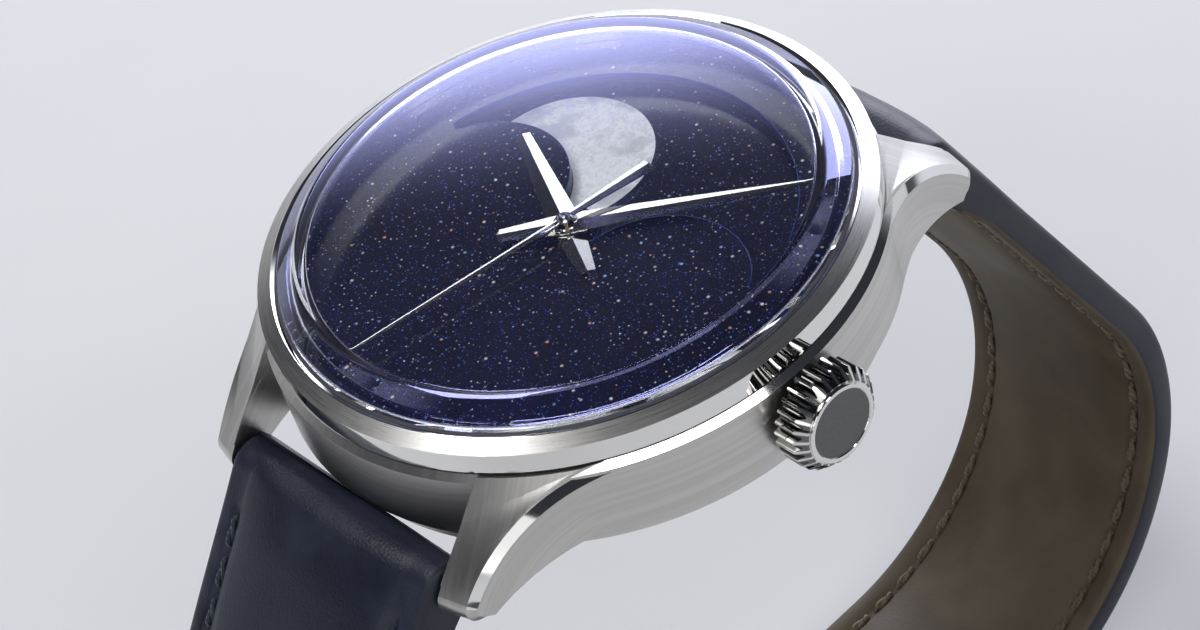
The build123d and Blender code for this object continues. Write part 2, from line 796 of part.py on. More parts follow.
with BuildPart() as dial_plate:
    with BuildSketch(at_depth(dial_depth + dial_thickness)):
        Circle(dial_radius)
        Circle(dial_hole_radius, mode=Mode.SUBTRACT)
        add(moon_window.sketch, mode=Mode.SUBTRACT)
    extrude(amount=dial_thickness)

with BuildPart() as dial_base:
    with BuildSketch(at_depth(dial_foot_depth)):
        Circle(dial_radius)
        Circle(dial_hole_radius, mode=Mode.SUBTRACT)
        add(moon_window.sketch, mode=Mode.SUBTRACT)
    extrude(amount=base_thickness)
    with BuildSketch(at_depth(dial_foot_depth)):
        with Locations((0, foot_reach), (0, -foot_reach)):
            Circle(foot_radius)
    extrude(amount=-foot_length)

# Moon disc with two moons let into its face
moon_places = [on_clock(moon_orbit, moon_angle), on_clock(moon_orbit, moon_angle - 180)]
with BuildPart() as moon_disc:
    with BuildSketch(at_depth(disc_foot_depth)):
        Circle(disc_radius)
        Circle(disc_hole_radius, mode=Mode.SUBTRACT)
    extrude(amount=disc_thickness)
    with BuildSketch(at_depth(disc_depth)):
        with Locations(*moon_places):
            Circle(moon_radius)
    extrude(amount=-moon_thickness, mode=Mode.SUBTRACT)

with BuildPart() as moons:
    with BuildSketch(at_depth(disc_depth + moon_thickness)):
        with Locations(*moon_places):
            Circle(moon_radius)
    extrude(amount=moon_thickness)

# Hands: each blade is a ridge with two facets, widest at its hub
with BuildPart() as hour_hand:
    loft([blade(hour_angle, hour_depth, 0, hour_hub_width, hand_rise),
          blade(hour_angle, hour_depth, hour_reach, hour_tip_width, hand_tip_rise)], ruled=True)
    loft([blade(hour_angle, hour_depth, -hour_tail_reach, hour_tail_width, hand_tip_rise),
          blade(hour_angle, hour_depth, 0, hour_hub_width, hand_rise)], ruled=True)
    extrude(disc(hour_depth, pipe_radius), amount=hand_rise)
    extrude(disc(hour_depth, cannon_radius + running_gap), amount=hand_rise, mode=Mode.SUBTRACT)

with BuildPart() as minute_hand:
    loft([blade(minute_angle, minute_depth, 0, minute_hub_width, hand_rise),
          blade(minute_angle, minute_depth, minute_reach, minute_tip_width, hand_tip_rise)],
         ruled=True)
    loft([blade(minute_angle, minute_depth, -minute_tail_reach, minute_tail_width, hand_tip_rise),
          blade(minute_angle, minute_depth, 0, minute_hub_width, hand_rise)], ruled=True)
    extrude(disc(minute_depth, cannon_radius), amount=hand_rise)
    extrude(disc(minute_depth, arbor_radius + running_gap), amount=hand_rise, mode=Mode.SUBTRACT)

with BuildPart() as seconds_hand:
    loft([blade(seconds_angle, seconds_depth, 0, seconds_hub_width, seconds_rise),
          blade(seconds_angle, seconds_depth, seconds_reach, seconds_tip_width, hand_tip_rise)],
         ruled=True)
    loft([blade(seconds_angle, seconds_depth, -seconds_tail_reach, seconds_tail_width,
                hand_tip_rise),
          blade(seconds_angle, seconds_depth, 0, seconds_hub_width, seconds_rise)], ruled=True)
    extrude(disc(seconds_depth, seconds_hub_radius), amount=seconds_rise)
    extrude(disc(seconds_depth, seconds_pin_radius), amount=seconds_pin_rise)
    extrude(disc(seconds_depth, arbor_radius), amount=seconds_rise, mode=Mode.SUBTRACT)

# Motion work under the moon disc
hour_wheel_depth = disc_recess_depth + driver_thickness + seat_gap
minute_wheel_depth = hour_wheel_depth + hour_wheel_thickness + running_gap
recess_floor = minute_wheel_depth + minute_wheel_thickness + running_gap
minute_centre = cannon_leaf_radius + minute_wheel_radius + running_gap
minute_wheel_x = minute_centre * cos(radians(minute_wheel_turn))
minute_wheel_y = minute_centre * sin(radians(minute_wheel_turn))
driver_centre = driver_pinion_radius + driver_radius + running_gap
driver_x = driver_centre * cos(radians(driver_turn))
driver_y = driver_centre * sin(radians(driver_turn))

with BuildPart() as hour_wheel:
    extrude(gear(at_depth(hour_wheel_depth + hour_wheel_thickness), hour_wheel_radius,
                 hour_wheel_teeth, tooth_height), amount=hour_wheel_thickness)
    extrude(gear(at_depth(hour_wheel_depth), driver_pinion_radius, driver_pinion_leaves,
                 tooth_height),
            amount=hour_wheel_depth - disc_recess_depth)
    extrude(disc(hour_wheel_depth, pipe_radius), amount=hour_wheel_depth - hour_depth)
    extrude(disc(hour_wheel_depth + hour_wheel_thickness, cannon_radius + running_gap),
            amount=hour_wheel_depth, mode=Mode.SUBTRACT)

with BuildPart() as cannon_pinion:
    extrude(gear(at_depth(recess_floor - running_gap), cannon_leaf_radius, cannon_leaves,
                 tooth_height / 2),
            amount=minute_wheel_thickness)
    extrude(disc(recess_floor - running_gap, cannon_radius),
            amount=recess_floor - running_gap - minute_depth)
    extrude(disc(recess_floor, boss_radius + running_gap), amount=recess_floor,
            mode=Mode.SUBTRACT)

with BuildPart() as minute_wheel:
    extrude(gear(at_depth(recess_floor - running_gap), minute_wheel_radius,
                 minute_wheel_teeth, tooth_height,
                 minute_wheel_x, minute_wheel_y), amount=minute_wheel_thickness)
    extrude(gear(at_depth(minute_wheel_depth), minute_pinion_radius, minute_pinion_leaves,
                 tooth_height,
                 minute_wheel_x, minute_wheel_y), amount=hour_wheel_thickness)
    extrude(disc(recess_floor, post_radius + running_gap, minute_wheel_x, minute_wheel_y),
            amount=recess_floor, mode=Mode.SUBTRACT)

with BuildPart() as moon_driver:
    extrude(gear(at_depth(disc_recess_depth + driver_thickness), driver_radius, driver_teeth,
                 tooth_height,
                 driver_x, driver_y), amount=driver_thickness)
    extrude(disc(disc_recess_depth + driver_thickness, post_radius + running_gap, driver_x,
                 driver_y), amount=driver_thickness, mode=Mode.SUBTRACT)

# Train places by name: x, y, wheel radius
third_place = (third_x, third_y)
escape_place = (escape_x, escape_y)
barrel_place = (barrel_x, barrel_y)
balance_place = (balance_x, balance_y)
fork_place = (fork_x, fork_y)
pivot_places = [third_place, escape_place, fork_place, balance_place]
jewel_places = [(0, 0), third_place, escape_place, balance_place]

with BuildPart() as main_plate:
    extrude(disc(plate_foot_depth, movement_radius), amount=plate_foot_depth - plate_depth)
    extrude(disc(plate_depth, hour_wheel_radius + seat_gap),
            amount=-(recess_floor - plate_depth), mode=Mode.SUBTRACT)
    extrude(disc(plate_depth, minute_wheel_radius + seat_gap, minute_wheel_x, minute_wheel_y),
            amount=-(recess_floor - plate_depth), mode=Mode.SUBTRACT)
    extrude(disc(plate_foot_depth, boss_radius),
            amount=plate_foot_depth - recess_floor + boss_rise)
    extrude(disc(recess_floor, post_radius, minute_wheel_x, minute_wheel_y),
            amount=recess_floor - hour_wheel_depth)
    extrude(disc(plate_depth, post_radius, driver_x, driver_y),
            amount=plate_depth - disc_recess_depth)
    extrude(disc(plate_foot_depth, arbor_radius + running_gap), amount=plate_foot_depth,
            mode=Mode.SUBTRACT)
    with BuildSketch(at_depth(plate_foot_depth)):
        with Locations((stem_bay_start, 0)):
            Rectangle(movement_radius, stem_bay_width, align=(Align.MIN, Align.CENTER))
    extrude(amount=plate_foot_depth - stem_depth + winding_radius + seat_gap, mode=Mode.SUBTRACT)
    with BuildSketch(at_depth(plate_foot_depth)):
        with Locations(*pivot_places):
            Circle(pivot_hole_radius)
        with Locations(barrel_place):
            Circle(barrel_arbor_radius + running_gap)
    extrude(amount=pivot_length + running_gap, mode=Mode.SUBTRACT)


def wheel(place, radius, teeth, height):
    """Spoked wheel on its arbor, between the main plate and the bridge."""
    x, y = place
    foot = train_depth + wheel_thickness
    with BuildPart() as made:
        extrude(gear(at_depth(foot), radius, teeth, height, x, y), amount=wheel_thickness)
        rim = radius - height - wheel_rim
        extrude(spokes_out(at_depth(foot), rim, hub_radius + wheel_rim, x, y),
                amount=wheel_thickness, mode=Mode.SUBTRACT)
        extrude(disc(bridge_depth - seat_gap, hub_radius, x, y),
                amount=bridge_depth - plate_foot_depth - 2 * seat_gap)
    return made.part


arbor_foot = bridge_foot_depth - pivot_length
arbor_head = plate_foot_depth - pivot_length
with BuildPart() as third_wheel:
    add(wheel(third_place, third_radius, third_teeth, tooth_height))
    extrude(disc(arbor_foot, pivot_radius, *third_place), amount=arbor_foot - arbor_head)

with BuildPart() as escape_wheel:
    add(wheel(escape_place, escape_radius, escape_teeth, escape_tooth_height))
    extrude(disc(arbor_foot, pivot_radius, *escape_place), amount=arbor_foot - arbor_head)

with BuildPart() as fourth_wheel:
    add(wheel((0, 0), fourth_radius, fourth_teeth, tooth_height))
    extrude(disc(arbor_foot, pivot_radius), amount=arbor_foot - plate_foot_depth)
    extrude(disc(plate_foot_depth + seat_gap, arbor_radius),
            amount=plate_foot_depth + seat_gap - seconds_depth + seconds_rise)

# Pallet fork: two pallets towards the escape wheel and a lever towards the balance
to_escape = (escape_x - fork_x, escape_y - fork_y, 0)
lever_turn = degrees(atan2(balance_y - fork_y, balance_x - fork_x) - atan2(to_escape[1], to_escape[0]))
with BuildPart() as pallet_fork:
    with BuildSketch(Plane(origin=(fork_x, fork_y, ring_z - train_depth - fork_thickness),
                           x_dir=to_escape, z_dir=(0, 0, 1))):
        Circle(fork_arm_width)
        Rectangle(fork_arm_width, 2 * fork_half_width)
        with Locations((0, fork_half_width), (0, -fork_half_width)):
            Rectangle(pallet_length, fork_arm_width, align=(Align.MIN, Align.CENTER))
        Rectangle(lever_length, fork_arm_width, rotation=lever_turn, align=(Align.MIN, Align.CENTER))
    extrude(amount=fork_thickness)
    extrude(disc(fork_arbor_depth, pivot_radius, *fork_place), amount=fork_arbor_depth - arbor_head)

with BuildPart() as pallet_cock:
    with BuildSketch(at_depth(fork_arbor_depth + running_gap)):
        with BuildLine():
            Line(fork_place, (fork_foot_x, fork_foot_y))
        trace(line_width=fork_cock_width)
        with Locations(fork_place, (fork_foot_x, fork_foot_y)):
            Circle(fork_cock_width / 2)
    extrude(amount=fork_cock_thickness)
    extrude(disc(fork_arbor_depth, fork_cock_width / 2, fork_foot_x, fork_foot_y),
            amount=fork_arbor_depth - plate_foot_depth)
    extrude(disc(fork_arbor_depth + running_gap, pivot_hole_radius, *fork_place),
            amount=fork_cock_thickness, mode=Mode.SUBTRACT)

# Balance, its spiral spring and its cock
with BuildPart() as balance_wheel:
    with BuildSketch(at_depth(balance_depth + wheel_thickness)):
        with Locations(balance_place):
            Circle(balance_radius)
            Circle(balance_radius - balance_rim, mode=Mode.SUBTRACT)
            Rectangle(2 * balance_radius - balance_rim, spoke_width)
            Circle(hub_radius)
    extrude(amount=wheel_thickness)
    extrude(disc(arbor_foot, pivot_radius, *balance_place), amount=arbor_foot - arbor_head)

spring_step = (hairspring_radius - hairspring_start) / (2 * hairspring_turns)
with BuildPart() as hairspring:
    with BuildSketch(at_depth(hairspring_depth + hairspring_height)):
        for half in range(2 * hairspring_turns):
            radius = hairspring_start + half * spring_step
            centre_x = balance_x + spring_step * (half % 2)
            outer = radius + hairspring_width
            with BuildLine():
                CenterArc((centre_x, balance_y), outer, 180 * (half % 2), 180)
                CenterArc((centre_x, balance_y), radius, 180 * (half % 2), 180)
                Line((centre_x + radius, balance_y), (centre_x + outer, balance_y))
                Line((centre_x - radius, balance_y), (centre_x - outer, balance_y))
            make_face()
    extrude(amount=hairspring_height)

last_half = 2 * hairspring_turns - 1
stud_x = balance_x + hairspring_start + (last_half + 1) * spring_step
with BuildPart() as balance_cock:
    with BuildSketch(at_depth(bridge_foot_depth)):
        Circle(bridge_radius)
        with Locations((balance_x, balance_y)):
            Rectangle(bridge_radius, cock_width, align=(Align.MIN, Align.CENTER), mode=Mode.INTERSECT)
            Circle(cock_width / 2)
    extrude(amount=bridge_foot_depth - bridge_depth)
    with BuildSketch(at_depth(bridge_depth)):
        Circle(bridge_radius)
        with Locations((balance_x, balance_y)):
            Rectangle(bridge_radius, cock_width, align=(Align.MIN, Align.CENTER), mode=Mode.INTERSECT)
            Circle(balance_radius + seat_gap, mode=Mode.SUBTRACT)
    extrude(amount=bridge_depth - plate_foot_depth)
    extrude(disc(bridge_depth, hairspring_width, stud_x + hairspring_width / 2, balance_y),
            amount=bridge_depth - hairspring_depth - hairspring_height)
    extrude(disc(bridge_foot_depth, jewel_radius, *balance_place),
            amount=bridge_foot_depth - bridge_depth, mode=Mode.SUBTRACT)

# Bridges on their pillars, parted by a slit
barrel_pillars = [on_clock(pillar_reach, angle) for angle in barrel_pillar_angles]
train_pillars = [on_clock(pillar_reach, angle) for angle in train_pillar_angles]

with BuildPart() as barrel_bridge:
    with BuildSketch(at_depth(bridge_foot_depth)):
        Circle(bridge_radius)
        with Locations((bridge_split_x - bridge_slit / 2, 0)):
            Rectangle(2 * bridge_radius, 2 * bridge_radius, align=(Align.MAX, Align.CENTER),
                      mode=Mode.INTERSECT)
    extrude(amount=bridge_foot_depth - bridge_depth)
    with BuildSketch(at_depth(bridge_depth)):
        with Locations(*barrel_pillars):
            Circle(pillar_radius)
    extrude(amount=bridge_depth - plate_foot_depth)
    extrude(disc(bridge_foot_depth, barrel_arbor_radius + running_gap, *barrel_place),
            amount=bridge_foot_depth - bridge_depth, mode=Mode.SUBTRACT)

with BuildPart() as train_bridge:
    with BuildSketch(at_depth(bridge_foot_depth)):
        Circle(bridge_radius)
        with Locations((bridge_split_x + bridge_slit / 2, 0)):
            Rectangle(2 * bridge_radius, 2 * bridge_radius, align=(Align.MIN, Align.CENTER),
                      mode=Mode.INTERSECT)
        with Locations((bridge_notch_x, bridge_notch_y)):
            Rectangle(bridge_radius, bridge_radius, align=(Align.MIN, Align.MAX),
                      mode=Mode.SUBTRACT)
        with Locations((0, 0), third_place, escape_place):
            Circle(jewel_radius, mode=Mode.SUBTRACT)
    extrude(amount=bridge_foot_depth - bridge_depth)
    with BuildSketch(at_depth(bridge_depth)):
        with Locations(*train_pillars):
            Circle(pillar_radius)
    extrude(amount=bridge_depth - plate_foot_depth)

with BuildPart() as jewels:
    with BuildSketch(at_depth(bridge_foot_depth)):
        with Locations(*jewel_places):
            Circle(jewel_radius)
            Circle(pivot_hole_radius, mode=Mode.SUBTRACT)
    extrude(amount=bridge_foot_depth - bridge_depth)

with BuildPart() as bridge_screws:
    with BuildSketch(at_depth(bridge_foot_depth + screw_rise)):
        with Locations(*barrel_pillars, *train_pillars):
            Circle(screw_radius)
    extrude(amount=screw_rise)
    with BuildSketch(at_depth(bridge_foot_depth + screw_rise)):
        with Locations(*barrel_pillars, *train_pillars):
            Rectangle(2 * screw_radius, screw_slot)
    extrude(amount=screw_rise / 2, mode=Mode.SUBTRACT)

# Barrel and the ratchet wheel on its arbor
with BuildPart() as barrel:
    extrude(gear(at_depth(barrel_depth + wheel_thickness), barrel_radius, barrel_teeth,
                 tooth_height, *barrel_place), amount=wheel_thickness)
    extrude(disc(barrel_depth + barrel_height, barrel_radius - wheel_rim, *barrel_place),
            amount=barrel_height)
    extrude(disc(barrel_depth + barrel_height, barrel_arbor_radius + running_gap, *barrel_place),
            amount=barrel_height, mode=Mode.SUBTRACT)

ratchet_foot = bridge_foot_depth + running_gap + ratchet_thickness
with BuildPart() as ratchet_wheel:
    extrude(gear(at_depth(ratchet_foot), ratchet_radius, ratchet_teeth, tooth_height, *barrel_place),
            amount=ratchet_thickness)
    extrude(disc(ratchet_foot, barrel_arbor_radius, *barrel_place),
            amount=ratchet_foot - arbor_head)

# Winding rotor: a half disc with a heavy rim, free on its bearing
with BuildPart() as rotor:
    extrude(disc(rotor_depth + rotor_thickness, rotor_radius), amount=rotor_thickness)
    extrude(disc(rotor_depth + rotor_thickness, rotor_web_radius),
            amount=rotor_thickness - rotor_web_thickness, mode=Mode.SUBTRACT)
    with BuildSketch(at_depth(rotor_depth + rotor_thickness)):
        with Locations((0, rotor_hub_radius)):
            Rectangle(3 * rotor_radius, 3 * rotor_radius, align=(Align.CENTER, Align.MIN))
    extrude(amount=rotor_thickness, mode=Mode.SUBTRACT)
    extrude(disc(bearing_foot_depth - running_gap, rotor_hub_radius),
            amount=bearing_foot_depth - running_gap - rotor_depth)
    extrude(disc(rotor_depth + rotor_thickness, bearing_radius + running_gap),
            amount=rotor_thickness, mode=Mode.SUBTRACT)

with BuildPart() as rotor_bearing:
    extrude(disc(bearing_foot_depth, bearing_radius), amount=bearing_foot_depth - bridge_foot_depth)

with BuildPart() as rotor_screw:
    extrude(disc(bearing_foot_depth + rotor_screw_thickness, rotor_screw_radius),
            amount=rotor_screw_thickness)
    with BuildSketch(at_depth(bearing_foot_depth + rotor_screw_thickness)):
        Rectangle(2 * rotor_screw_radius, screw_slot)
    extrude(amount=rotor_screw_thickness / 2, mode=Mode.SUBTRACT)


def bored(y, z, radius):
    """Round bore across the whole width of the strap or the buckle."""
    with BuildSketch(Plane.YZ) as face:
        with Locations((y, z)):
            Circle(radius)
    return face.sketch


# Short strap from the bar at 12 o'clock round to the buckle
inner_low = inner_middle - half_leather
inner_high = inner_middle + half_leather
outer_low = outer_middle - half_leather
outer_high = outer_middle + half_leather

with BuildPart() as strap_short:
    with BuildSketch(Plane.YZ):
        with BuildLine():
            strap_root(1)
            bend_arc(1, bend_radius + half_leather, bend_sweep)
            bend_arc(1, bend_radius - half_leather, bend_sweep)
            Line((bend_y, inner_low), (buckle_bar_y, inner_low))
            Line((bend_y, inner_high), (buckle_bar_y, inner_high))
            ThreePointArc((buckle_bar_y, inner_low), (buckle_bar_y - half_leather, inner_middle),
                          (buckle_bar_y, inner_high))
        make_face()
    extrude(amount=half_top, both=True)
    extrude(taper_outline(), amount=2 * bar_reach, both=True, mode=Mode.INTERSECT)
    extrude(bored(bar_reach, bar_z, strap_bore_radius), amount=half_top, both=True,
            mode=Mode.SUBTRACT)
    extrude(bored(buckle_bar_y, inner_middle, buckle_bar_radius + running_gap), amount=half_top,
            both=True, mode=Mode.SUBTRACT)
    with BuildSketch(Plane.XY.offset(inner_low)):
        with Locations((0, buckle_bar_y + tongue_eye_radius + seat_gap)):
            Rectangle(tongue_width + 2 * tongue_slot_gap, strap_thickness + 2 * tongue_eye_radius,
                      align=(Align.CENTER, Align.MAX))
    extrude(amount=strap_thickness, mode=Mode.SUBTRACT)
    revolve(case_clearance(), axis=Axis.Z, mode=Mode.SUBTRACT)

# Long strap from the bar at 6 o'clock through the buckle, its tail outside the short strap
step_angle = atan2(layer_step, step_start + step_end)
step_shift = half_leather * tan(step_angle / 2)
tail_radius = bend_radius + layer_step


def tail_point(radius):
    angle = radians(tail_sweep - 90)
    return (bend_y + radius * cos(angle), bend_z + radius * sin(angle))


with BuildPart() as strap_long:
    with BuildSketch(Plane.YZ):
        with BuildLine():
            strap_root(-1)
            bend_arc(-1, bend_radius + half_leather, bend_sweep)
            bend_arc(-1, bend_radius - half_leather, bend_sweep)
            Polyline((-bend_y, inner_low), (-step_start - step_shift, inner_low),
                     (step_end - step_shift, outer_low), (bend_y, outer_low))
            Polyline((-bend_y, inner_high), (-step_start + step_shift, inner_high),
                     (step_end + step_shift, outer_high), (bend_y, outer_high))
            bend_arc(1, tail_radius + half_leather, tail_sweep)
            bend_arc(1, tail_radius - half_leather, tail_sweep)
            Line(tail_point(tail_radius + half_leather), tail_point(tail_radius - half_leather))
        make_face()
    extrude(amount=half_top, both=True)
    extrude(taper_outline(), amount=3 * bar_reach, both=True, mode=Mode.INTERSECT)
    extrude(bored(-bar_reach, bar_z, strap_bore_radius), amount=half_top, both=True,
            mode=Mode.SUBTRACT)
    tail_angle = radians(tail_sweep - 90)
    tail_y, tail_z = tail_point(tail_radius)
    with BuildSketch(Plane(origin=(0, tail_y, tail_z), x_dir=(-1, 0, 0),
                           z_dir=(0, cos(tail_angle), sin(tail_angle)))):
        with Locations((0, overrun)):
            Rectangle(2 * strap_buckle_width, half_bottom + overrun,
                      align=(Align.CENTER, Align.MAX))
        with Locations((0, -half_bottom)):
            Circle(half_bottom, mode=Mode.SUBTRACT)
    extrude(amount=2 * strap_thickness, both=True, mode=Mode.SUBTRACT)
    with BuildSketch():
        with BuildLine():
            Polyline((-tongue_width / 2 - tongue_slot_gap, -tongue_hole_start),
                     (tongue_width / 2 + tongue_slot_gap, -tongue_hole_start),
                     (tongue_width / 2 + tongue_slot_gap, tongue_hole_end),
                     (-tongue_width / 2 - tongue_slot_gap, tongue_hole_end), close=True)
        make_face()
    extrude(amount=bend_radius / 2, mode=Mode.SUBTRACT)
    for hole in range(hole_count):
        reach = hole_start + hole * hole_pitch
        turn = max(0, (reach - bend_y) / bend_radius)
        hole_y = min(reach, bend_y) + bend_radius * sin(turn)
        with BuildSketch(Plane(origin=(0, -hole_y, bend_z - bend_radius * cos(turn)),
                               x_dir=(1, 0, 0), z_dir=(0, -sin(turn), -cos(turn)))):
            Circle(hole_radius)
        extrude(amount=strap_thickness, both=True, mode=Mode.SUBTRACT)
    revolve(case_clearance(), axis=Axis.Z, mode=Mode.SUBTRACT)

# Spring bars between the lugs
with BuildPart() as spring_bars:
    for side in (-1, 1):
        extrude(bored(side * bar_reach, bar_z, spring_bar_radius), amount=half_top, both=True)
        extrude(bored(side * bar_reach, bar_z, spring_pin_radius),
                amount=lug_inner_x + spring_pin_length, both=True)

# Leather keepers round both layers of the strap
keeper_top = inner_high + seat_gap


def keeper(y, wall):
    """Flat leather band round both layers."""
    half_inside = half_bottom + strap_gap
    with BuildPart() as made:
        with BuildSketch(Plane.XZ.offset(-y)):
            with Locations((0, (keeper_wall + keeper_top) / 2)):
                RectangleRounded(2 * (half_inside + wall), keeper_top - keeper_wall + 2 * wall,
                                 keeper_corner)
                Rectangle(2 * half_inside, keeper_top - keeper_wall, mode=Mode.SUBTRACT)
        extrude(amount=keeper_width / 2, both=True)
    return made.part


with BuildPart() as fixed_keeper:
    add(keeper(0, keeper_wall))

with BuildPart() as free_keeper:
    add(keeper(keeper_pitch, free_keeper_wall))

# Buckle: a frame with a notched rail, its bar through the strap's end, and the tongue
arm_inner = half_bottom + buckle_arm_gap
arm_outer = arm_inner + buckle_arm_width
rail_inner_y = -buckle_far_y + buckle_rail_width

with BuildPart() as buckle_frame:
    with BuildSketch(Plane.YZ):
        with BuildLine():
            Polyline((buckle_bar_y, inner_middle + buckle_eye_radius),
                     (rail_inner_y, buckle_rail_height), (-buckle_far_y, buckle_rail_height),
                     (-buckle_far_y, 0), (rail_inner_y, 0),
                     (buckle_bar_y, inner_middle - buckle_eye_radius))
            ThreePointArc((buckle_bar_y, inner_middle - buckle_eye_radius),
                          (buckle_bar_y + buckle_eye_radius, inner_middle),
                          (buckle_bar_y, inner_middle + buckle_eye_radius))
        make_face()
    extrude(amount=arm_outer, both=True)
    with BuildSketch(Plane.XY):
        with Locations((0, rail_inner_y)):
            Rectangle(2 * arm_inner, buckle_far_y + bend_y, align=(Align.CENTER, Align.MIN))
    extrude(amount=bend_radius, mode=Mode.SUBTRACT)
    extrude(bored(buckle_bar_y, inner_middle, buckle_pin_radius),
            amount=arm_inner + buckle_pin_length + seat_gap, both=True, mode=Mode.SUBTRACT)
    with BuildSketch(Plane.XZ.offset(-rail_inner_y)):
        Rectangle(tongue_width + 2 * tongue_slot_gap, tongue_lift + tongue_thickness + seat_gap,
                  align=(Align.CENTER, Align.MIN))
    extrude(amount=buckle_rail_width, mode=Mode.SUBTRACT)

with BuildPart() as buckle_bar:
    extrude(bored(buckle_bar_y, inner_middle, buckle_bar_radius), amount=half_bottom, both=True)
    extrude(bored(buckle_bar_y, inner_middle, buckle_pin_radius),
            amount=arm_inner + buckle_pin_length, both=True)

half_tongue = tongue_thickness / 2
tongue_low = tongue_lift + half_tongue
tongue_run = hypot(buckle_bar_y + tongue_bend_y, inner_middle - tongue_low)
tongue_aside_y = half_tongue * (inner_middle - tongue_low) / tongue_run
tongue_aside_z = half_tongue * (buckle_bar_y + tongue_bend_y) / tongue_run
with BuildPart() as buckle_tongue:
    extrude(side_face([
        (-buckle_far_y - tongue_overhang, tongue_lift), (-tongue_bend_y, tongue_lift),
        (buckle_bar_y + tongue_aside_y, inner_middle - tongue_aside_z),
        (buckle_bar_y - tongue_aside_y, inner_middle + tongue_aside_z),
        (-tongue_bend_y - 2 * tongue_aside_y, tongue_lift + tongue_thickness),
        (-buckle_far_y - tongue_overhang, tongue_lift + tongue_thickness)]),
        amount=tongue_width / 2, both=True)
    extrude(bored(buckle_bar_y, inner_middle, tongue_eye_radius), amount=tongue_width / 2,
            both=True)
    extrude(bored(buckle_bar_y, inner_middle, buckle_bar_radius + running_gap),
            amount=tongue_width, both=True, mode=Mode.SUBTRACT)

print("least gap of the hairspring to itself", 2 * spring_step - hairspring_width)

pieces = {
    "mid_case": mid_case, "bezel": bezel, "crystal": crystal, "crystal_gasket": crystal_gasket,
    "case_back": case_back, "case_back_gasket": case_back_gasket,
    "case_back_glass": case_back_glass, "back_glass_gasket": back_glass_gasket,
    "crown": crown, "crown_tube": crown_tube, "crown_seal": crown_seal,
    "winding_stem": winding_stem, "winding_pinion": winding_pinion,
    "movement_holder": movement_holder, "dial_plate": dial_plate, "dial_base": dial_base,
    "moon_disc": moon_disc, "moons": moons, "hour_hand": hour_hand,
    "minute_hand": minute_hand, "seconds_hand": seconds_hand, "hour_wheel": hour_wheel,
    "cannon_pinion": cannon_pinion, "minute_wheel": minute_wheel, "moon_driver": moon_driver,
    "main_plate": main_plate, "third_wheel": third_wheel, "escape_wheel": escape_wheel,
    "fourth_wheel": fourth_wheel, "pallet_fork": pallet_fork, "pallet_cock": pallet_cock,
    "balance_wheel": balance_wheel, "hairspring": hairspring, "balance_cock": balance_cock,
    "barrel_bridge": barrel_bridge, "train_bridge": train_bridge, "jewels": jewels,
    "bridge_screws": bridge_screws, "barrel": barrel, "ratchet_wheel": ratchet_wheel,
    "rotor": rotor, "rotor_bearing": rotor_bearing, "rotor_screw": rotor_screw,
    "strap_short": strap_short, "strap_long": strap_long, "spring_bars": spring_bars,
    "fixed_keeper": fixed_keeper, "free_keeper": free_keeper, "buckle_frame": buckle_frame,
    "buckle_bar": buckle_bar, "buckle_tongue": buckle_tongue,
}
os.makedirs("parts", exist_ok=True)
for name, piece in pieces.items():
    piece.part.label = name
    export_step(piece.part, f"parts/{name}.step")
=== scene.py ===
from math import atan2, ceil, cos, hypot, pi, radians, sin, sqrt, tan

import bmesh
import bpy
from mathutils import Matrix, Vector


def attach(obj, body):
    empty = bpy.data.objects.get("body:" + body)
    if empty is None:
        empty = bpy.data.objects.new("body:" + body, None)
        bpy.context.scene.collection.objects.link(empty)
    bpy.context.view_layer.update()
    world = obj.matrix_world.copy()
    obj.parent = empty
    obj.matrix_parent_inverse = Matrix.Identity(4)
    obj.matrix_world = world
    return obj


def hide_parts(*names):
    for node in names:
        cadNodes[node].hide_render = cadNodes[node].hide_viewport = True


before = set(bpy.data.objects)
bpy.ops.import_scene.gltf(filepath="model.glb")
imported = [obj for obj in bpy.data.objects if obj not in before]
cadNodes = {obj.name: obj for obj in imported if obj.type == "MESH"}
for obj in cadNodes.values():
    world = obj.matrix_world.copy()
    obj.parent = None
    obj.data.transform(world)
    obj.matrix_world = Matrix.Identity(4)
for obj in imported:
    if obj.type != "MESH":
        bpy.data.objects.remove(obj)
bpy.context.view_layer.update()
scene = bpy.context.scene
print("frame loaded", len(cadNodes), "nodes")

# Where things are, in metres and degrees, as the solids have them
watch = {
    "ringZ": 0.06783475,      # bright ring at the top of the bezel
    "barZ": 0.05943475,
    "legSlope": 63.2,
    "bend": (0.0187937, 0.02405, 0.019),    # y, z and radius of the strap's low bends
}
# Lugs: how far they turn inwards, and the arc of their crest that leaves the case's shelf
lug = {"turn": 13.2, "shelfDepth": 0.0022, "crestY": 0.013, "crestRadius": 0.0142}


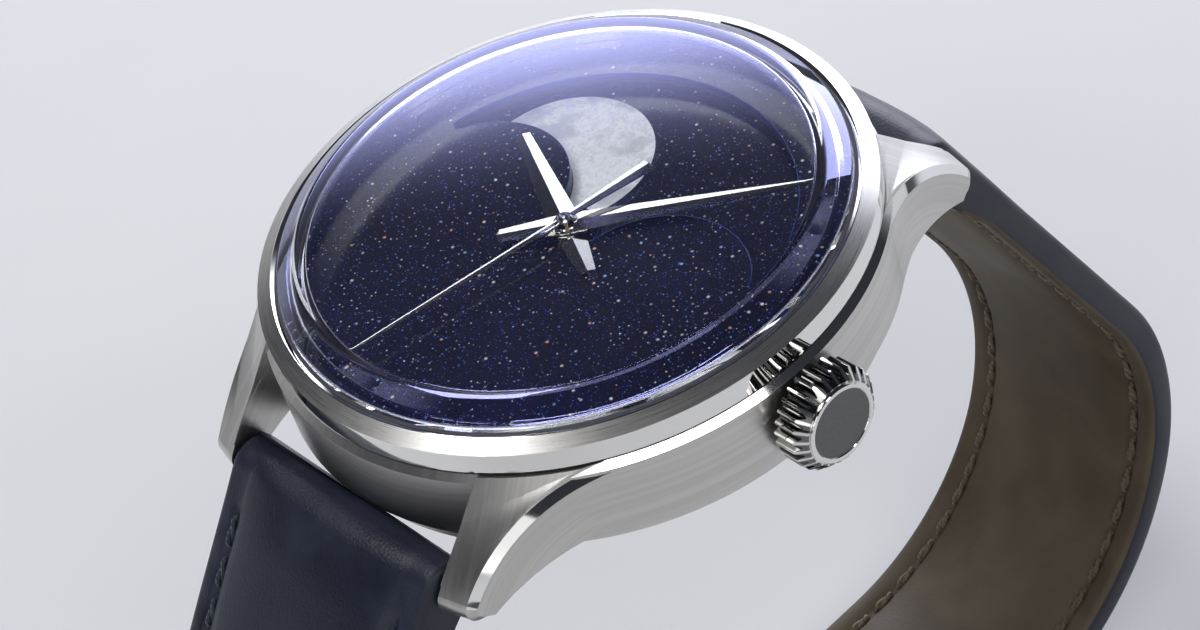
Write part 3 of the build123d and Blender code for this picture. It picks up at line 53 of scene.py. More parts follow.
class shaderGraph:
    # A node tree with short ways to add and join nodes
    def __init__(self, tree):
        self.tree = tree

    def wire(self, node, inputs):
        for key, value in inputs.items():
            if isinstance(value, bpy.types.NodeSocket):
                self.tree.links.new(value, node.inputs[key])
            else:
                node.inputs[key].default_value = value
        return node

    def place(self, kind, inputs=None, **settings):
        made = self.tree.nodes.new("ShaderNode" + kind)
        for name, value in settings.items():
            setattr(made, name, value)
        return self.wire(made, inputs or {})

    def use(self, shared, **values):
        return self.place("Group", values, node_tree=shared.tree).outputs

    def calc(self, operation, *values):
        return self.place("Math", dict(enumerate(values)), operation=operation).outputs[0]

    def times(self, first, *others):
        for other in others:
            first = self.calc("MULTIPLY", first, other)
        return first

    def plus(self, first, second):
        return self.calc("ADD", first, second)

    def minus(self, first, second):
        return self.calc("SUBTRACT", first, second)

    def reach(self, first, second):
        return self.calc("SQRT", self.plus(self.times(first, first), self.times(second, second)))

    def vector(self, operation, first, second):
        return self.place("VectorMath", {0: first, 1: second}, operation=operation).outputs[0]

    def mix(self, factor, first, second):
        return self.place("Mix", {0: factor, 6: first, 7: second}, data_type="RGBA").outputs[2]

    def blend(self, factor, first, second):
        return self.place("Mix", {0: factor, 2: first, 3: second}, data_type="FLOAT").outputs[0]

    def soft(self, value, low, high, toLow=0.0, toHigh=1.0):
        return self.place("MapRange", {0: value, 1: low, 2: high, 3: toLow, 4: toHigh},
                          interpolation_type="SMOOTHSTEP").outputs[0]

    def ramp(self, factor, stops):
        made = self.place("ValToRGB", {0: factor})
        elements = made.color_ramp.elements
        while len(elements) < len(stops):
            elements.new(0.5)
        for element, (position, colour) in zip(elements, stops):
            element.position = position
            element.color = (*colour, 1)
        return made.outputs[0]

    def coords(self, kind="Object"):
        return self.place("TexCoord").outputs[kind]

    def joined(self, x, y, z=0.0):
        return self.place("CombineXYZ", {0: x, 1: y, 2: z}).outputs[0]

    def apart(self, vector):
        return self.place("SeparateXYZ", {0: vector}).outputs

    def facing(self, kind="Normal"):
        return self.apart(self.place("NewGeometry").outputs[kind])

    def noise(self, vector, **inputs):
        return self.place("TexNoise", {"Vector": vector, **inputs}).outputs[0]

    def bump(self, height, strength, distance):
        return self.place("Bump", {"Height": height, "Strength": strength, "Distance": distance}).outputs[0]

    def dress(self, colour=None, rough=None, normal=None):
        ends = {"Base Color": colour, "Roughness": rough, "Normal": normal}
        self.wire(self.shader, {key: value for key, value in ends.items() if value is not None})
        return self.material


def newMaterial(name, look):
    made = bpy.data.materials.new(name)
    made.use_nodes = True
    tree = shaderGraph(made.node_tree)
    tree.material, tree.shader = made, made.node_tree.nodes["Principled BSDF"]
    tree.wire(tree.shader, look)
    return tree


def newGroup(name, takes, gives):
    made = bpy.data.node_groups.new(name, "ShaderNodeTree")
    for socket, value in takes.items():
        item = made.interface.new_socket(name=socket, in_out="INPUT", socket_type="NodeSocketFloat")
        item.default_value = value
    for socket in gives:
        made.interface.new_socket(name=socket, in_out="OUTPUT", socket_type="NodeSocketFloat")
    return shaderGraph(made), made.nodes.new("NodeGroupInput").outputs, made.nodes.new("NodeGroupOutput")


def shade(colour, share):
    return tuple(channel * share for channel in colour[:3]) + (1,)


# Effects that several materials share
def makeRingBrush():
    # Fine lines that run round the dial's axis, without a seam
    tree, takes, gives = newGroup("ringBrush", {"Lines": 20000.0, "Streak": 4.0}, ("Height", "Broad"))
    x, y, z = tree.apart(tree.coords())
    angle = tree.calc("ARCTAN2", y, x)
    flat = tree.calc("GREATER_THAN", tree.calc("ABSOLUTE", tree.facing("True Normal")[2]), 0.5)
    run = tree.blend(flat, z, tree.reach(x, y))
    across = tree.joined(tree.times(run, takes["Lines"]), flat, tree.times(tree.calc("COSINE", angle), takes["Streak"]))
    spot = {"Vector": across, "W": tree.times(tree.calc("SINE", angle), takes["Streak"])}
    fine = tree.place("TexNoise", {**spot, "Scale": 1.0, "Detail": 3.0, "Roughness": 0.65}, noise_dimensions="4D")
    broad = tree.place("TexNoise", {**spot, "Scale": 0.16}, noise_dimensions="4D")
    tree.wire(gives, {"Height": fine.outputs[0], "Broad": broad.outputs[0]})
    return tree


def makeSmudge():
    # Faint wiping marks on polished faces
    tree, takes, gives = newGroup("smudge", {"Scale": 300.0, "Low": 0.03, "High": 0.12}, ("Roughness",))
    marks = tree.noise(tree.coords(), Scale=takes["Scale"], Detail=4.0, Roughness=0.6, Distortion=0.4)
    tree.wire(gives, {"Roughness": tree.soft(marks, 0.35, 0.75, takes["Low"], takes["High"])})
    return tree


def makeFlecks():
    # Mica flecks in dark glass: one layer of round specks of one size
    tree, takes, gives = newGroup("flecks", {"PerMetre": 3000.0, "Size": 0.1, "Share": 0.5, "Seed": 0.0},
                                  ("Mask", "Hue"))
    moved = tree.vector("ADD", tree.coords(), tree.joined(takes["Seed"], takes["Seed"]))
    flat = tree.vector("MULTIPLY", moved, (1, 1, 0))
    cells = tree.place("TexVoronoi", {"Vector": flat, "Scale": takes["PerMetre"]}, voronoi_dimensions="2D").outputs
    chance = tree.place("SeparateColor", {0: cells["Color"]}).outputs
    edge = tree.times(takes["Size"], tree.soft(chance[0], 0.0, 1.0, 0.45, 1.5))
    spot = tree.place("MapRange", {0: cells["Distance"], 1: edge, 2: tree.times(edge, 0.35)}).outputs[0]
    chosen = tree.calc("LESS_THAN", chance[1], takes["Share"])
    level = tree.calc("MULTIPLY_ADD", tree.calc("POWER", chance[0], 2.6), 0.9, 0.1)
    tree.wire(gives, {"Mask": tree.times(spot, chosen, level), "Hue": chance[2]})
    return tree


def makeHide():
    # Smooth dressed calf: soft creases, pores and a slow change of tone
    tree, takes, gives = newGroup("hide", {"Grain": 900.0, "Pores": 3500.0}, ("Height", "Tone"))
    coords = tree.coords()
    creases = tree.place("TexVoronoi", {"Vector": coords, "Scale": takes["Grain"], "Smoothness": 0.6},
                         feature="SMOOTH_F1").outputs["Distance"]
    pores = tree.noise(coords, Scale=takes["Pores"], Detail=3.0)
    tree.wire(gives, {"Height": tree.plus(tree.times(creases, 0.6), tree.times(pores, 0.5)),
                      "Tone": tree.noise(coords, Scale=160.0, Detail=3.0, Distortion=0.5)})
    return tree


ringBrush = makeRingBrush()
smudge = makeSmudge()
flecks = makeFlecks()
hide = makeHide()
print("shared effects built")

metal = {"Metallic": 1.0}
steel = {"colour": (0.60, 0.59, 0.575, 1), "bright": (0.82, 0.815, 0.80, 1),
         "brush": {"Lines": 21000.0, "Streak": 3.5}}
# Crown: narrow ridges between deep flutes that end on the front cone, a raised rim and a sunk field
crown = {
    "axisZ": 0.06218475, "field": (0.00228, 0.00225), "faceX": 0.0228, "grooveFoot": (0.00266, 0.0027),
    # the groove colour is painted shade in the hollows between the crown's ridges
    "bright": (0.78, 0.775, 0.76, 1), "matte": (0.16, 0.16, 0.165, 1), "grooveShade": (0.16, 0.158, 0.155, 1),
    "start": 0.0206, "edge": 0.00012, "radius": 0.0034, "shoulder": 0.0222, "face": 0.0229, "faceRadius": 0.00278,
    "depth": 0.0004, "count": 28, "bore": ((0.0223, 0.0), (0.0223, 0.0019), (0.0206, 0.0019)),
    "rim": ((0.0229, 0.00278), (0.0229, 0.00262), (0.023, 0.00262), (0.02305, 0.00257), (0.02305, 0.00233),
            (0.023, 0.00228), (0.02297, 0.00227), (0.02297, 0.0)),
    "teeth": ((-0.07, 0.0), (0.07, 0.0), (0.13, 0.12), (0.40, 0.93), (0.5, 1.0), (0.60, 0.93), (0.87, 0.12)),
}


def makePolished(name, colour, low=0.03, high=0.12):
    tree = newMaterial(name, {"Base Color": colour, "Metallic": 1.0})
    return tree.dress(rough=tree.use(smudge, Low=low, High=high)[0])


def steelTone(tree, broad, share):
    return tree.mix(tree.soft(broad, 0.35, 0.7), shade(steel["colour"], share), steel["colour"])


def makeBackSteel():
    tree = newMaterial("backSteel", metal)
    brush = tree.use(ringBrush, Lines=22000.0, Streak=5.0)
    return tree.dress(
        steelTone(tree, brush["Broad"], 0.92),
        tree.soft(brush["Height"], 0.3, 0.75, 0.26, 0.38),
        tree.bump(brush["Height"], 0.35, 0.00002))


def makeCaseSteel():
    # Brushed round the flank, brushed along the lugs, polished on the lugs' flowing chamfers and recess
    tree = newMaterial("caseSteel", metal)
    x, y, z = tree.apart(tree.coords())
    nx, ny, nz = tree.facing()
    xSide, ySide = tree.calc("ABSOLUTE", x), tree.calc("ABSOLUTE", y)
    turn = radians(lug["turn"])
    along = tree.plus(tree.times(ySide, cos(turn)), tree.times(xSide, sin(turn)))
    across = tree.minus(tree.times(xSide, cos(turn)), tree.times(ySide, sin(turn)))
    up = tree.minus(z, watch["ringZ"] - lug["shelfDepth"] - lug["crestRadius"])
    out = tree.minus(along, lug["crestY"])
    onCrest = tree.calc("GREATER_THAN", nz, 0.42)
    run = tree.blend(onCrest, tree.reach(up, out), across)
    sweep = tree.times(tree.calc("ARCTAN2", out, up), 3.0)
    spot = tree.joined(tree.times(run, steel["brush"]["Lines"]), onCrest, sweep)
    ring = tree.use(ringBrush, **steel["brush"])
    onLug = tree.soft(ySide, 0.0125, 0.015)
    fine = tree.blend(onLug, ring["Height"], tree.noise(spot, Scale=1.0, Detail=3.0, Roughness=0.65))
    broad = tree.blend(onLug, ring["Broad"], tree.noise(spot, Scale=0.16))
    outX, outY = tree.times(nx, tree.calc("SIGN", x)), tree.times(ny, tree.calc("SIGN", y))
    sideways = tree.minus(tree.times(outX, cos(turn)), tree.times(outY, sin(turn)))
    slanted = tree.times(tree.soft(sideways, 0.42, 0.48),
                         tree.times(tree.soft(nz, 0.22, 0.28), tree.soft(nz, 0.93, 0.9)))
    marks = tree.use(smudge, Low=0.04, High=0.1)[0]
    return tree.dress(
        tree.mix(slanted, steelTone(tree, broad, 0.88), steel["bright"]),
        tree.blend(slanted, tree.soft(fine, 0.3, 0.75, 0.28, 0.38), marks),
        tree.bump(tree.times(fine, tree.minus(1.0, slanted)), 0.22, 0.00001))


def makeBezelSteel():
    # Shallow cone brushed in circles, inner edge and side band polished
    tree = newMaterial("bezelSteel", metal)
    x, y, z = tree.apart(tree.coords())
    cone = tree.times(tree.soft(tree.facing()[2], 0.5, 0.6), tree.soft(tree.reach(x, y), 0.01903, 0.01907))
    brush = tree.use(ringBrush, Lines=30000.0, Streak=6.0)
    marks = tree.use(smudge, Low=0.02, High=0.07)[0]
    return tree.dress(
        tree.mix(cone, steel["bright"], steelTone(tree, brush["Broad"], 0.92)),
        tree.blend(cone, marks, tree.soft(brush["Height"], 0.3, 0.75, 0.26, 0.36)),
        tree.bump(tree.times(brush["Height"], cone), 0.25, 0.00001))


def makeCrownSteel():
    # Polished ridges, grooves darkened with painted shade and a matte field inside the rim
    tree = newMaterial("crownMetal", metal)
    coords = tree.coords()
    x, y, z = tree.apart(coords)
    up = tree.minus(z, crown["axisZ"])
    reach = tree.reach(up, y)
    inField = tree.times(tree.soft(reach, *crown["field"]), tree.calc("GREATER_THAN", x, crown["faceX"]))
    turn = tree.times(tree.calc("ARCTAN2", up, y), crown["count"] / (2 * pi))
    # mask of the grooves between the ridges, which get painted shade
    grooveShade = tree.times(tree.soft(tree.calc("PINGPONG", turn, 0.5), 0.1, 0.2), tree.soft(reach, *crown["grooveFoot"]))
    grain = tree.noise(coords, Scale=9000.0, Detail=3.0)
    marks = tree.use(smudge, Low=0.05, High=0.12)[0]
    return tree.dress(
        tree.mix(inField, tree.mix(grooveShade, crown["bright"], crown["grooveShade"]), crown["matte"]),
        tree.blend(inField, marks, tree.soft(grain, 0.3, 0.7, 0.42, 0.6)),
        tree.bump(tree.times(grain, inField), 0.3, 0.00001))


def makeStriped(name, colour, stripe, turn):
    # Plated bridge with broad polished stripes
    tree = newMaterial(name, metal)
    coords = tree.coords()
    turned = tree.place("VectorRotate", {"Vector": coords, "Angle": turn}, rotation_type="Z_AXIS").outputs[0]
    wave = tree.place("TexWave", {"Vector": turned, "Scale": stripe}, wave_profile="SAW").outputs["Fac"]
    fine = tree.times(tree.noise(coords, Scale=9000.0), 0.06)
    return tree.dress(
        tree.mix(wave, shade(colour, 0.72), colour),
        tree.plus(tree.soft(wave, 0.0, 1.0, 0.16, 0.34), fine),
        tree.bump(wave, 0.25, 0.00004))


def makeSatin(name, colour, low=0.22, high=0.38, metallic=1.0):
    tree = newMaterial(name, {"Metallic": metallic})
    coords = tree.coords()
    fine, broad = tree.noise(coords, Scale=7000.0, Detail=3.0), tree.noise(coords, Scale=700.0)
    return tree.dress(
        tree.mix(tree.soft(broad, 0.3, 0.7), shade(colour, 0.86), colour),
        tree.soft(fine, 0.3, 0.7, low, high),
        tree.bump(fine, 0.12, 0.00001))


polishedSteel = makePolished("polishedSteel", (0.80, 0.795, 0.785, 1))
handSteel = makePolished("handSteel", (0.52, 0.517, 0.512, 1), 0.07, 0.1)
caseSteel = makeCaseSteel()
bezelSteel = makeBezelSteel()
backSteel = makeBackSteel()
plainSteel = makeSatin("plainSteel", (0.55, 0.545, 0.535, 1))
crownSteel = makeCrownSteel()
bridgePlate = makeStriped("bridgePlate", (0.72, 0.71, 0.69, 1), 150.0, 0.6)
rotorPlate = makeStriped("rotorPlate", (0.76, 0.75, 0.73, 1), 130.0, -0.5)
mainPlateMetal = makeSatin("mainPlateMetal", (0.62, 0.61, 0.59, 1))
gilt = makeSatin("giltWheels", (0.83, 0.62, 0.27, 1), 0.18, 0.3)
holderMetal = makeSatin("holderMetal", (0.5, 0.42, 0.25, 1))
darkPlate = makeSatin("darkPlate", (0.012, 0.013, 0.03, 1), 0.4, 0.6, 0.0)
print("metals built")


def makeSapphire():
    # Clear to shadow and diffuse rays, with a thin bluish coat
    tree = newMaterial("sapphireGlass", {
        "Base Color": (0.985, 0.99, 1.0, 1), "Roughness": 0.0, "IOR": 1.77, "Transmission Weight": 1.0,
        "Specular Tint": (0.54, 0.56, 1.0, 1)})
    path = tree.place("LightPath").outputs
    through = tree.calc("MAXIMUM", path["Is Shadow Ray"], path["Is Diffuse Ray"])
    coat = tree.place("BsdfGlossy", {"Color": (0.052, 0.053, 0.106, 1), "Roughness": 0.0}).outputs[0]
    coated = tree.place("AddShader", {0: tree.shader.outputs[0], 1: coat}).outputs[0]
    clear = tree.place("BsdfTransparent", {0: (0.93, 0.94, 0.97, 1)}).outputs[0]
    surface = tree.place("MixShader", {0: through, 1: coated, 2: clear}).outputs[0]
    tree.wire(tree.tree.nodes["Material Output"], {"Surface": surface})
    return tree.material


def makeSeal():
    tree = newMaterial("sealRubber", {"Base Color": (0.012, 0.012, 0.016, 1)})
    return tree.dress(rough=tree.soft(tree.noise(tree.coords(), Scale=4000.0), 0.3, 0.7, 0.42, 0.6))


def makeRuby():
    tree = newMaterial("rubyJewel", {"Roughness": 0.05, "Coat Weight": 0.6})
    depth = tree.noise(tree.coords(), Scale=1800.0)
    return tree.dress(tree.mix(depth, (0.35, 0.005, 0.04, 1), (0.75, 0.03, 0.14, 1)))


# Dark blue aventurine glass with mica flecks of three sizes, each with the hues that it runs through
aventurine = {
    "ground": (0.0022, 0.0025, 0.011, 1), "haze": (0.0055, 0.006, 0.028, 1), "wall": (0.012, 0.018, 0.12, 1),
    "shader": {"Roughness": 0.16, "Specular IOR Level": 0.28}, "seedStep": 0.13,
    "layers": (
        ({"PerMetre": 5600.0, "Size": 0.19, "Share": 0.36},
         ((0.0, (0.04, 0.06, 0.6)), (0.5, (0.08, 0.16, 1.0)), (0.85, (0.25, 0.3, 0.9)), (1.0, (0.6, 0.4, 0.5)))),
        ({"PerMetre": 2400.0, "Size": 0.12, "Share": 0.5},
         ((0.0, (0.12, 0.25, 1.0)), (0.3, (0.3, 0.65, 1.0)), (0.5, (0.9, 0.93, 1.0)), (0.84, (0.95, 0.9, 0.95)),
          (1.0, (1.0, 0.5, 0.35)))),
        ({"PerMetre": 860.0, "Size": 0.078, "Share": 0.6},
         ((0.0, (0.25, 0.5, 1.0)), (0.3, (0.7, 0.85, 1.0)), (0.5, (1.0, 1.0, 1.0)), (0.8, (1.0, 0.85, 0.75)),
          (1.0, (1.0, 0.5, 0.3))))),
}


def makeAventurine(name, seed, dim):
    tree = newMaterial(name, aventurine["shader"])
    cloud = tree.noise(tree.coords(), Scale=110.0, Detail=4.0, Roughness=0.6)
    colour = tree.mix(tree.soft(cloud, 0.3, 0.75), aventurine["ground"], aventurine["haze"])
    level = tree.soft(tree.calc("ABSOLUTE", tree.facing("True Normal")[2]), 0.4, 0.6)
    colour = tree.mix(level, aventurine["wall"], colour)
    # dim lowers the flecks as painted shade, for a copy that lies deeper in shadow
    level = tree.times(level, dim)
    for number, (layer, hues) in enumerate(aventurine["layers"]):
        specks = tree.use(flecks, Seed=seed + aventurine["seedStep"] * number, **layer)
        colour = tree.mix(tree.times(specks["Mask"], level), colour, tree.ramp(specks["Hue"], hues))
    return tree.dress(colour)


# Printed moon: pale highlands, grey seas and small rayed craters
moon = {
    "pale": (0.96, 0.962, 0.975, 1), "sea": (0.58, 0.60, 0.65, 1), "mottle": (0.62, 0.64, 0.69, 1),
    "ray": (0.98, 0.98, 1.0, 1), "pit": (0.4, 0.42, 0.46, 1), "bend": 0.0016,
    "seaScale": 230.0, "craters": 1300.0, "smallCraters": 2600.0, "relief": 0.00006,
}


def makeMoonPrint():
    tree = newMaterial("moonPrint", {"Roughness": 0.35})
    coords = tree.coords()
    bent = tree.place("TexNoise", {"Vector": coords, "Scale": 500.0, "Detail": 3.0}).outputs["Color"]
    shift = tree.place("VectorMath", {0: bent, "Scale": moon["bend"]}, operation="SCALE").outputs[0]
    moved = tree.vector("ADD", coords, shift)
    seas = tree.noise(moved, Scale=moon["seaScale"], Detail=8.0, Roughness=0.6)
    mottled = tree.noise(coords, Scale=3200.0, Detail=5.0, Roughness=0.8)
    cells, small = (tree.place("TexVoronoi", {"Vector": moved, "Scale": moon[kind]}).outputs["Distance"]
                    for kind in ("craters", "smallCraters"))
    rim = tree.times(tree.soft(cells, 0.1, 0.16), tree.soft(cells, 0.26, 0.17))
    ground = tree.mix(tree.soft(seas, 0.47, 0.575), moon["pale"], moon["sea"])
    for factor, colour in ((tree.soft(mottled, 0.44, 0.6, 0.0, 0.6), "mottle"), (tree.times(rim, 0.35), "ray"),
                           (tree.times(tree.soft(cells, 0.12, 0.04), 0.4), "pit"),
                           (tree.soft(small, 0.16, 0.05, 0.0, 0.3), "ray")):
        ground = tree.mix(factor, ground, moon[colour])
    relief = tree.plus(tree.times(rim, 0.6), tree.times(mottled, 0.6))
    return tree.dress(ground, normal=tree.bump(relief, 0.3, moon["relief"]))


sapphire = makeSapphire()
sealRubber = makeSeal()
ruby = makeRuby()
dialGlass = makeAventurine("dialAventurine", 0.0, 1.0)
# the moon disc's copy of the dial glass: flecks dimmed to 0.8 as painted shade, since the disc lies deeper
discGlass = makeAventurine("discAventurineShaded", 0.37, 0.8)
moonPrint = makeMoonPrint()
beadGlass = makeSatin("beadGlass", (0.03, 0.055, 0.27, 1), 0.1, 0.2, 0.0)
print("glass and dial built")

leather = {
    "navy": (0.0075, 0.0105, 0.026, 1), "navyLight": (0.016, 0.021, 0.046, 1),
    "edge": (0.006, 0.007, 0.014, 1), "lining": (0.060, 0.043, 0.024, 1), "liningLight": (0.10, 0.074, 0.045, 1),
    "thread": (0.008, 0.017, 0.030, 1), "liningThread": (0.075, 0.055, 0.032, 1),
}


def makeHideMaterial(name, dark, light, rough, grain, strength):
    tree = newMaterial(name, {"Specular IOR Level": 0.45})
    skin = tree.use(hide, Grain=grain, Pores=grain * 3)
    return tree.dress(
        tree.mix(tree.soft(skin["Tone"], 0.3, 0.72), leather[dark], leather[light]),
        tree.soft(skin["Tone"], 0.25, 0.75, rough - 0.05, rough + 0.09),
        tree.bump(skin["Height"], strength, 0.00004))


def makeThread(name, colour):
    tree = newMaterial(name, {"Roughness": 0.6, "Sheen Weight": 0.3, "Sheen Roughness": 0.4})
    twist = tree.place("TexWave", {"Vector": tree.coords(), "Scale": 1400.0, "Distortion": 1.0},
                       bands_direction="DIAGONAL").outputs["Fac"]
    return tree.dress(tree.mix(twist, colour, shade(colour, 1.7)), normal=tree.bump(twist, 0.5, 0.00006))


navyHide = makeHideMaterial("navyHide", "navy", "navyLight", 0.38, 6000.0, 0.7)
edgePaint = makeHideMaterial("edgePaint", "edge", "navy", 0.42, 5000.0, 0.25)
liningHide = makeHideMaterial("liningHide", "lining", "liningLight", 0.6, 4000.0, 0.45)
navyThread = makeThread("navyThread", leather["thread"])
liningThread = makeThread("liningThread", leather["liningThread"])
print("leather built")

finishes = (
    (caseSteel, "mid_case"), (bezelSteel, "bezel"), (crownSteel, "crown"), (sapphire, "crystal case_back_glass"),
    (dialGlass, "dial_plate"), (discGlass, "moon_disc"), (moonPrint, "moons"), (darkPlate, "dial_base"),
    (holderMetal, "movement_holder"), (ruby, "jewels"), (rotorPlate, "rotor"), (backSteel, "case_back ratchet_wheel"),
    (sealRubber, "crystal_gasket case_back_gasket back_glass_gasket crown_seal"),
    (handSteel, "hour_hand minute_hand seconds_hand"), (mainPlateMetal, "main_plate pallet_cock"),
    (bridgePlate, "balance_cock barrel_bridge train_bridge"),
    (polishedSteel, "bridge_screws rotor_screw buckle_frame buckle_tongue"),
    (plainSteel, "crown_tube winding_stem winding_pinion cannon_pinion escape_wheel pallet_fork hairspring"
                 " rotor_bearing spring_bars buckle_bar"),
    (gilt, "hour_wheel minute_wheel moon_driver third_wheel fourth_wheel balance_wheel barrel"),
    (navyHide, "strap_short strap_long fixed_keeper free_keeper"),
)
for finish, names in finishes:
    for name in names.split():
        slots = cadNodes[name].data.materials
        slots.clear()
        slots.append(finish)


def newObject(name, data):
    made = bpy.data.objects.new(name, data)
    scene.collection.objects.link(made)
    return made


def newMesh(name, points, faces, materials, body, sharp=None, merge=False):
    mesh = bpy.data.meshes.new(name)
    mesh.from_pydata(points, [], faces)
    mesh.update()
    work = bmesh.new()
    work.from_mesh(mesh)
    if merge:
        bmesh.ops.remove_doubles(work, verts=work.verts, dist=1e-7)
    bmesh.ops.recalc_face_normals(work, faces=work.faces)
    work.to_mesh(mesh)
    work.free()
    for finish in materials:
        mesh.materials.append(finish)
    mesh.polygons.foreach_set("use_smooth", [True] * len(mesh.polygons))
    if sharp:
        mesh.set_sharp_from_angle(angle=radians(sharp))
    made = newObject(name, mesh)
    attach(made, body)
    return made


def ringFaces(rows, size, start=0, closed=True, looped=False):
    # Faces between rows of points; closed joins a row's ends, looped the last row and the first
    faces = []
    for row in range(rows if looped else rows - 1):
        here, there = start + row * size, start + (row + 1) % rows * size
        for step in range(size if closed else size - 1):
            after = (step + 1) % size
            faces.append((here + step, here + after, there + after, there + step))
    return faces


def circle(middle, aside, up, radius, sides):
    angles = [2 * pi * side / sides for side in range(sides)]
    return [tuple(middle + (aside * cos(angle) + up * sin(angle)) * radius) for angle in angles]


def lathe(profile, segments):
    # Closed profile of (radius, height) turned about the dial's axis; points on the axis are shared
    points, faces, rows = [], [], []
    for radius, height in profile:
        start = len(points)
        if radius < 1e-7:
            points.append((0, 0, height))
            rows.append([start] * segments)
        else:
            for step in range(segments):
                angle = 2 * pi * step / segments
                points.append((radius * cos(angle), radius * sin(angle), height))
            rows.append(list(range(start, start + segments)))
    for low, high in zip(rows, rows[1:] + rows[:1]):
        if low[0] == low[1] and high[0] == high[1]:
            continue
        for step in range(segments):
            after = (step + 1) % segments
            faces.append(list(dict.fromkeys([low[step], low[after], high[after], high[step]])))
    return points, faces


# Strap: sections square to a line that starts at the spring bar
strap = {
    "topWidth": 0.020, "lowWidth": 0.018, "taperFoot": 0.014, "half": 0.0012, "rootRadius": 0.0019,
    "offset": 0.0007, "wedge": 0.009, "padHeight": 0.0012, "padFlat": 0.006, "padEnd": 0.052, "edgeRound": 0.0006,
    "rootY": 0.0216, "rootZ": 0.0590, "rootEnd": 0.003, "nearSlope": 50.0, "nearLength": 0.012, "nearLean": 0.0003,
    "stitchInset": 0.0020, "stitchPitch": 0.00275, "stitchLength": 0.0025, "strand": 0.00018, "twist": 0.00014,
    "firstStitch": 0.0042, "grooveDepth": 0.00042, "puff": 0.00013, "liningFrom": 0.005,
    "rootPitch": 0.00022, "pitch": 0.0004, "flatPitch": 0.0008, "corner": (0.0, 0.35, 0.7, 1.0),
    # from the stitches inwards: distance, shares of the groove's depth, the padding and the puff
    "topRows": ((-0.0007, 0, 0, 1), (-0.0004, 0.2, 0.02, 1), (-0.00025, 0.85, 0.05, 0.3),
                (0, 1, 0.08, 0), (0.0003, 0.9, 0.16, 0), (0.0005, 0.2, 0.3, 0), (0.0009, 0, 0.44, 0),
                (0.0016, 0, 0.62, 0), (0.0028, 0, 0.8, 0), (0.0042, 0, 0.92, 0), (0.006, 0, 0.98, 0)),
    "liningRows": ((-0.0006, 0), (-0.0003, 0.6), (0, 0.8), (0.0003, 0.6), (0.0006, 0), (0.004, 0)),
}
# Case that the leather keeps clear of: reach of its flank and back, by depth below the bright ring
caseShape = {"flankDepth": 0.0075, "flank": 0.0205, "backDepth": 0.0093, "back": 0.01945, "taper": 1.46}
slope = radians(watch["legSlope"])


def straightRun(line, angle, length):
    # Goes on from the last station straight, at an angle below level
    y, z, ny, nz, run = line[-1]
    count = ceil(length / strap["pitch"])
    for n in range(1, count + 1):
        gone = length * n / count
        line.append((y + gone * cos(angle), z - gone * sin(angle), sin(angle), cos(angle), run + gone))


def curvedRun(line, first, last, radius, pitch=strap["pitch"]):
    # Goes on along an arc that turns from one slope to another
    y, z, ny, nz, run = line[-1]
    count = ceil(abs(last - first) * radius / pitch)
    for n in range(1, count + 1):
        angle = first + (last - first) * n / count
        line.append((y + radius * (sin(angle) - sin(first)), z - radius * (cos(first) - cos(angle)),
                     sin(angle), cos(angle), run + radius * abs(angle - first)))


def flatRun(line, goals):
    # Goes on through the goals (y, z) of the leather's middle
    y, z, ny, nz, run = line[-1]
    for goalY, goalZ in goals:
        length = hypot(goalY - y, goalZ - z)
        ty, tz = (goalY - y) / length, (goalZ - z) / length
        count = max(1, ceil(length / strap["flatPitch"]))
        ny, nz = (tz, -ty) if (tz * ny - ty * nz) > 0 else (-tz, ty)
        for step in range(1, count + 1):
            line.append((y + ty * length * step / count, z + tz * length * step / count, ny, nz,
                         run + length * step / count))
        y, z, run = goalY, goalZ, run + length


def strapLine(side):
    # Stations down the leather's middle: (y, z, outward y, outward z, run from the bar)
    angle = slope if side > 0 else radians(strap["nearSlope"])
    y = strap["rootY"] + strap["offset"] * sin(angle)
    z = strap["rootZ"] + strap["offset"] * cos(angle)
    line, run = [], -strap["rootRadius"]
    while run < strap["rootEnd"]:
        line.append((y + run * cos(angle), z - run * sin(angle), sin(angle), cos(angle), run))
        run += strap["rootPitch"]
    bendY, bendZ, bendRadius = watch["bend"]
    if side > 0:
        # a straight leg, then a slight bend towards the buckle's curve
        downY, downZ = bendY + bendRadius * sin(slope) - line[-1][0], line[-1][1] - bendZ - bendRadius * cos(slope)
        straightRun(line, atan2(downZ, downY), hypot(downY, downZ))
        first = slope
    else:
        # flatter at first, then bent to stand upright
        straightRun(line, angle, strap["nearLength"])
        curvedRun(line, angle, pi / 2, (bendY + bendRadius - line[-1][0]) / (1 - sin(angle)))
        straightRun(line, pi / 2, line[-1][1] - bendZ)
        first = pi / 2
    curvedRun(line, first, pi, bendRadius)
    return [(side * y, z, side * ny, nz, run) for y, z, ny, nz, run in line]


def widthAt(z):
    # Half of the strap's width
    share = min(1, max(0, (z - strap["taperFoot"]) / (watch["barZ"] - strap["taperFoot"])))
    low, top = strap["lowWidth"] / 2, strap["topWidth"] / 2
    return low + (top - low) * share


def smooth(value):
    value = min(1, max(0, value))
    return value * value * (3 - 2 * value)


def caseRadius(z):
    depth = watch["ringZ"] - z
    if depth < caseShape["flankDepth"]:
        return caseShape["flank"]
    return caseShape["back"] - max(0.0, depth - caseShape["backDepth"]) * caseShape["taper"]


def padAt(run):
    return strap["padHeight"] * (1 - smooth((run - strap["padFlat"])
                                                / (strap["padEnd"] - strap["padFlat"])))


def liningDepth(run):
    # From the middle line to the lining, past the rolled root
    root = strap["rootRadius"]
    return root + strap["offset"] - 2 * (root - strap["half"]) * min(1, run / strap["wedge"])


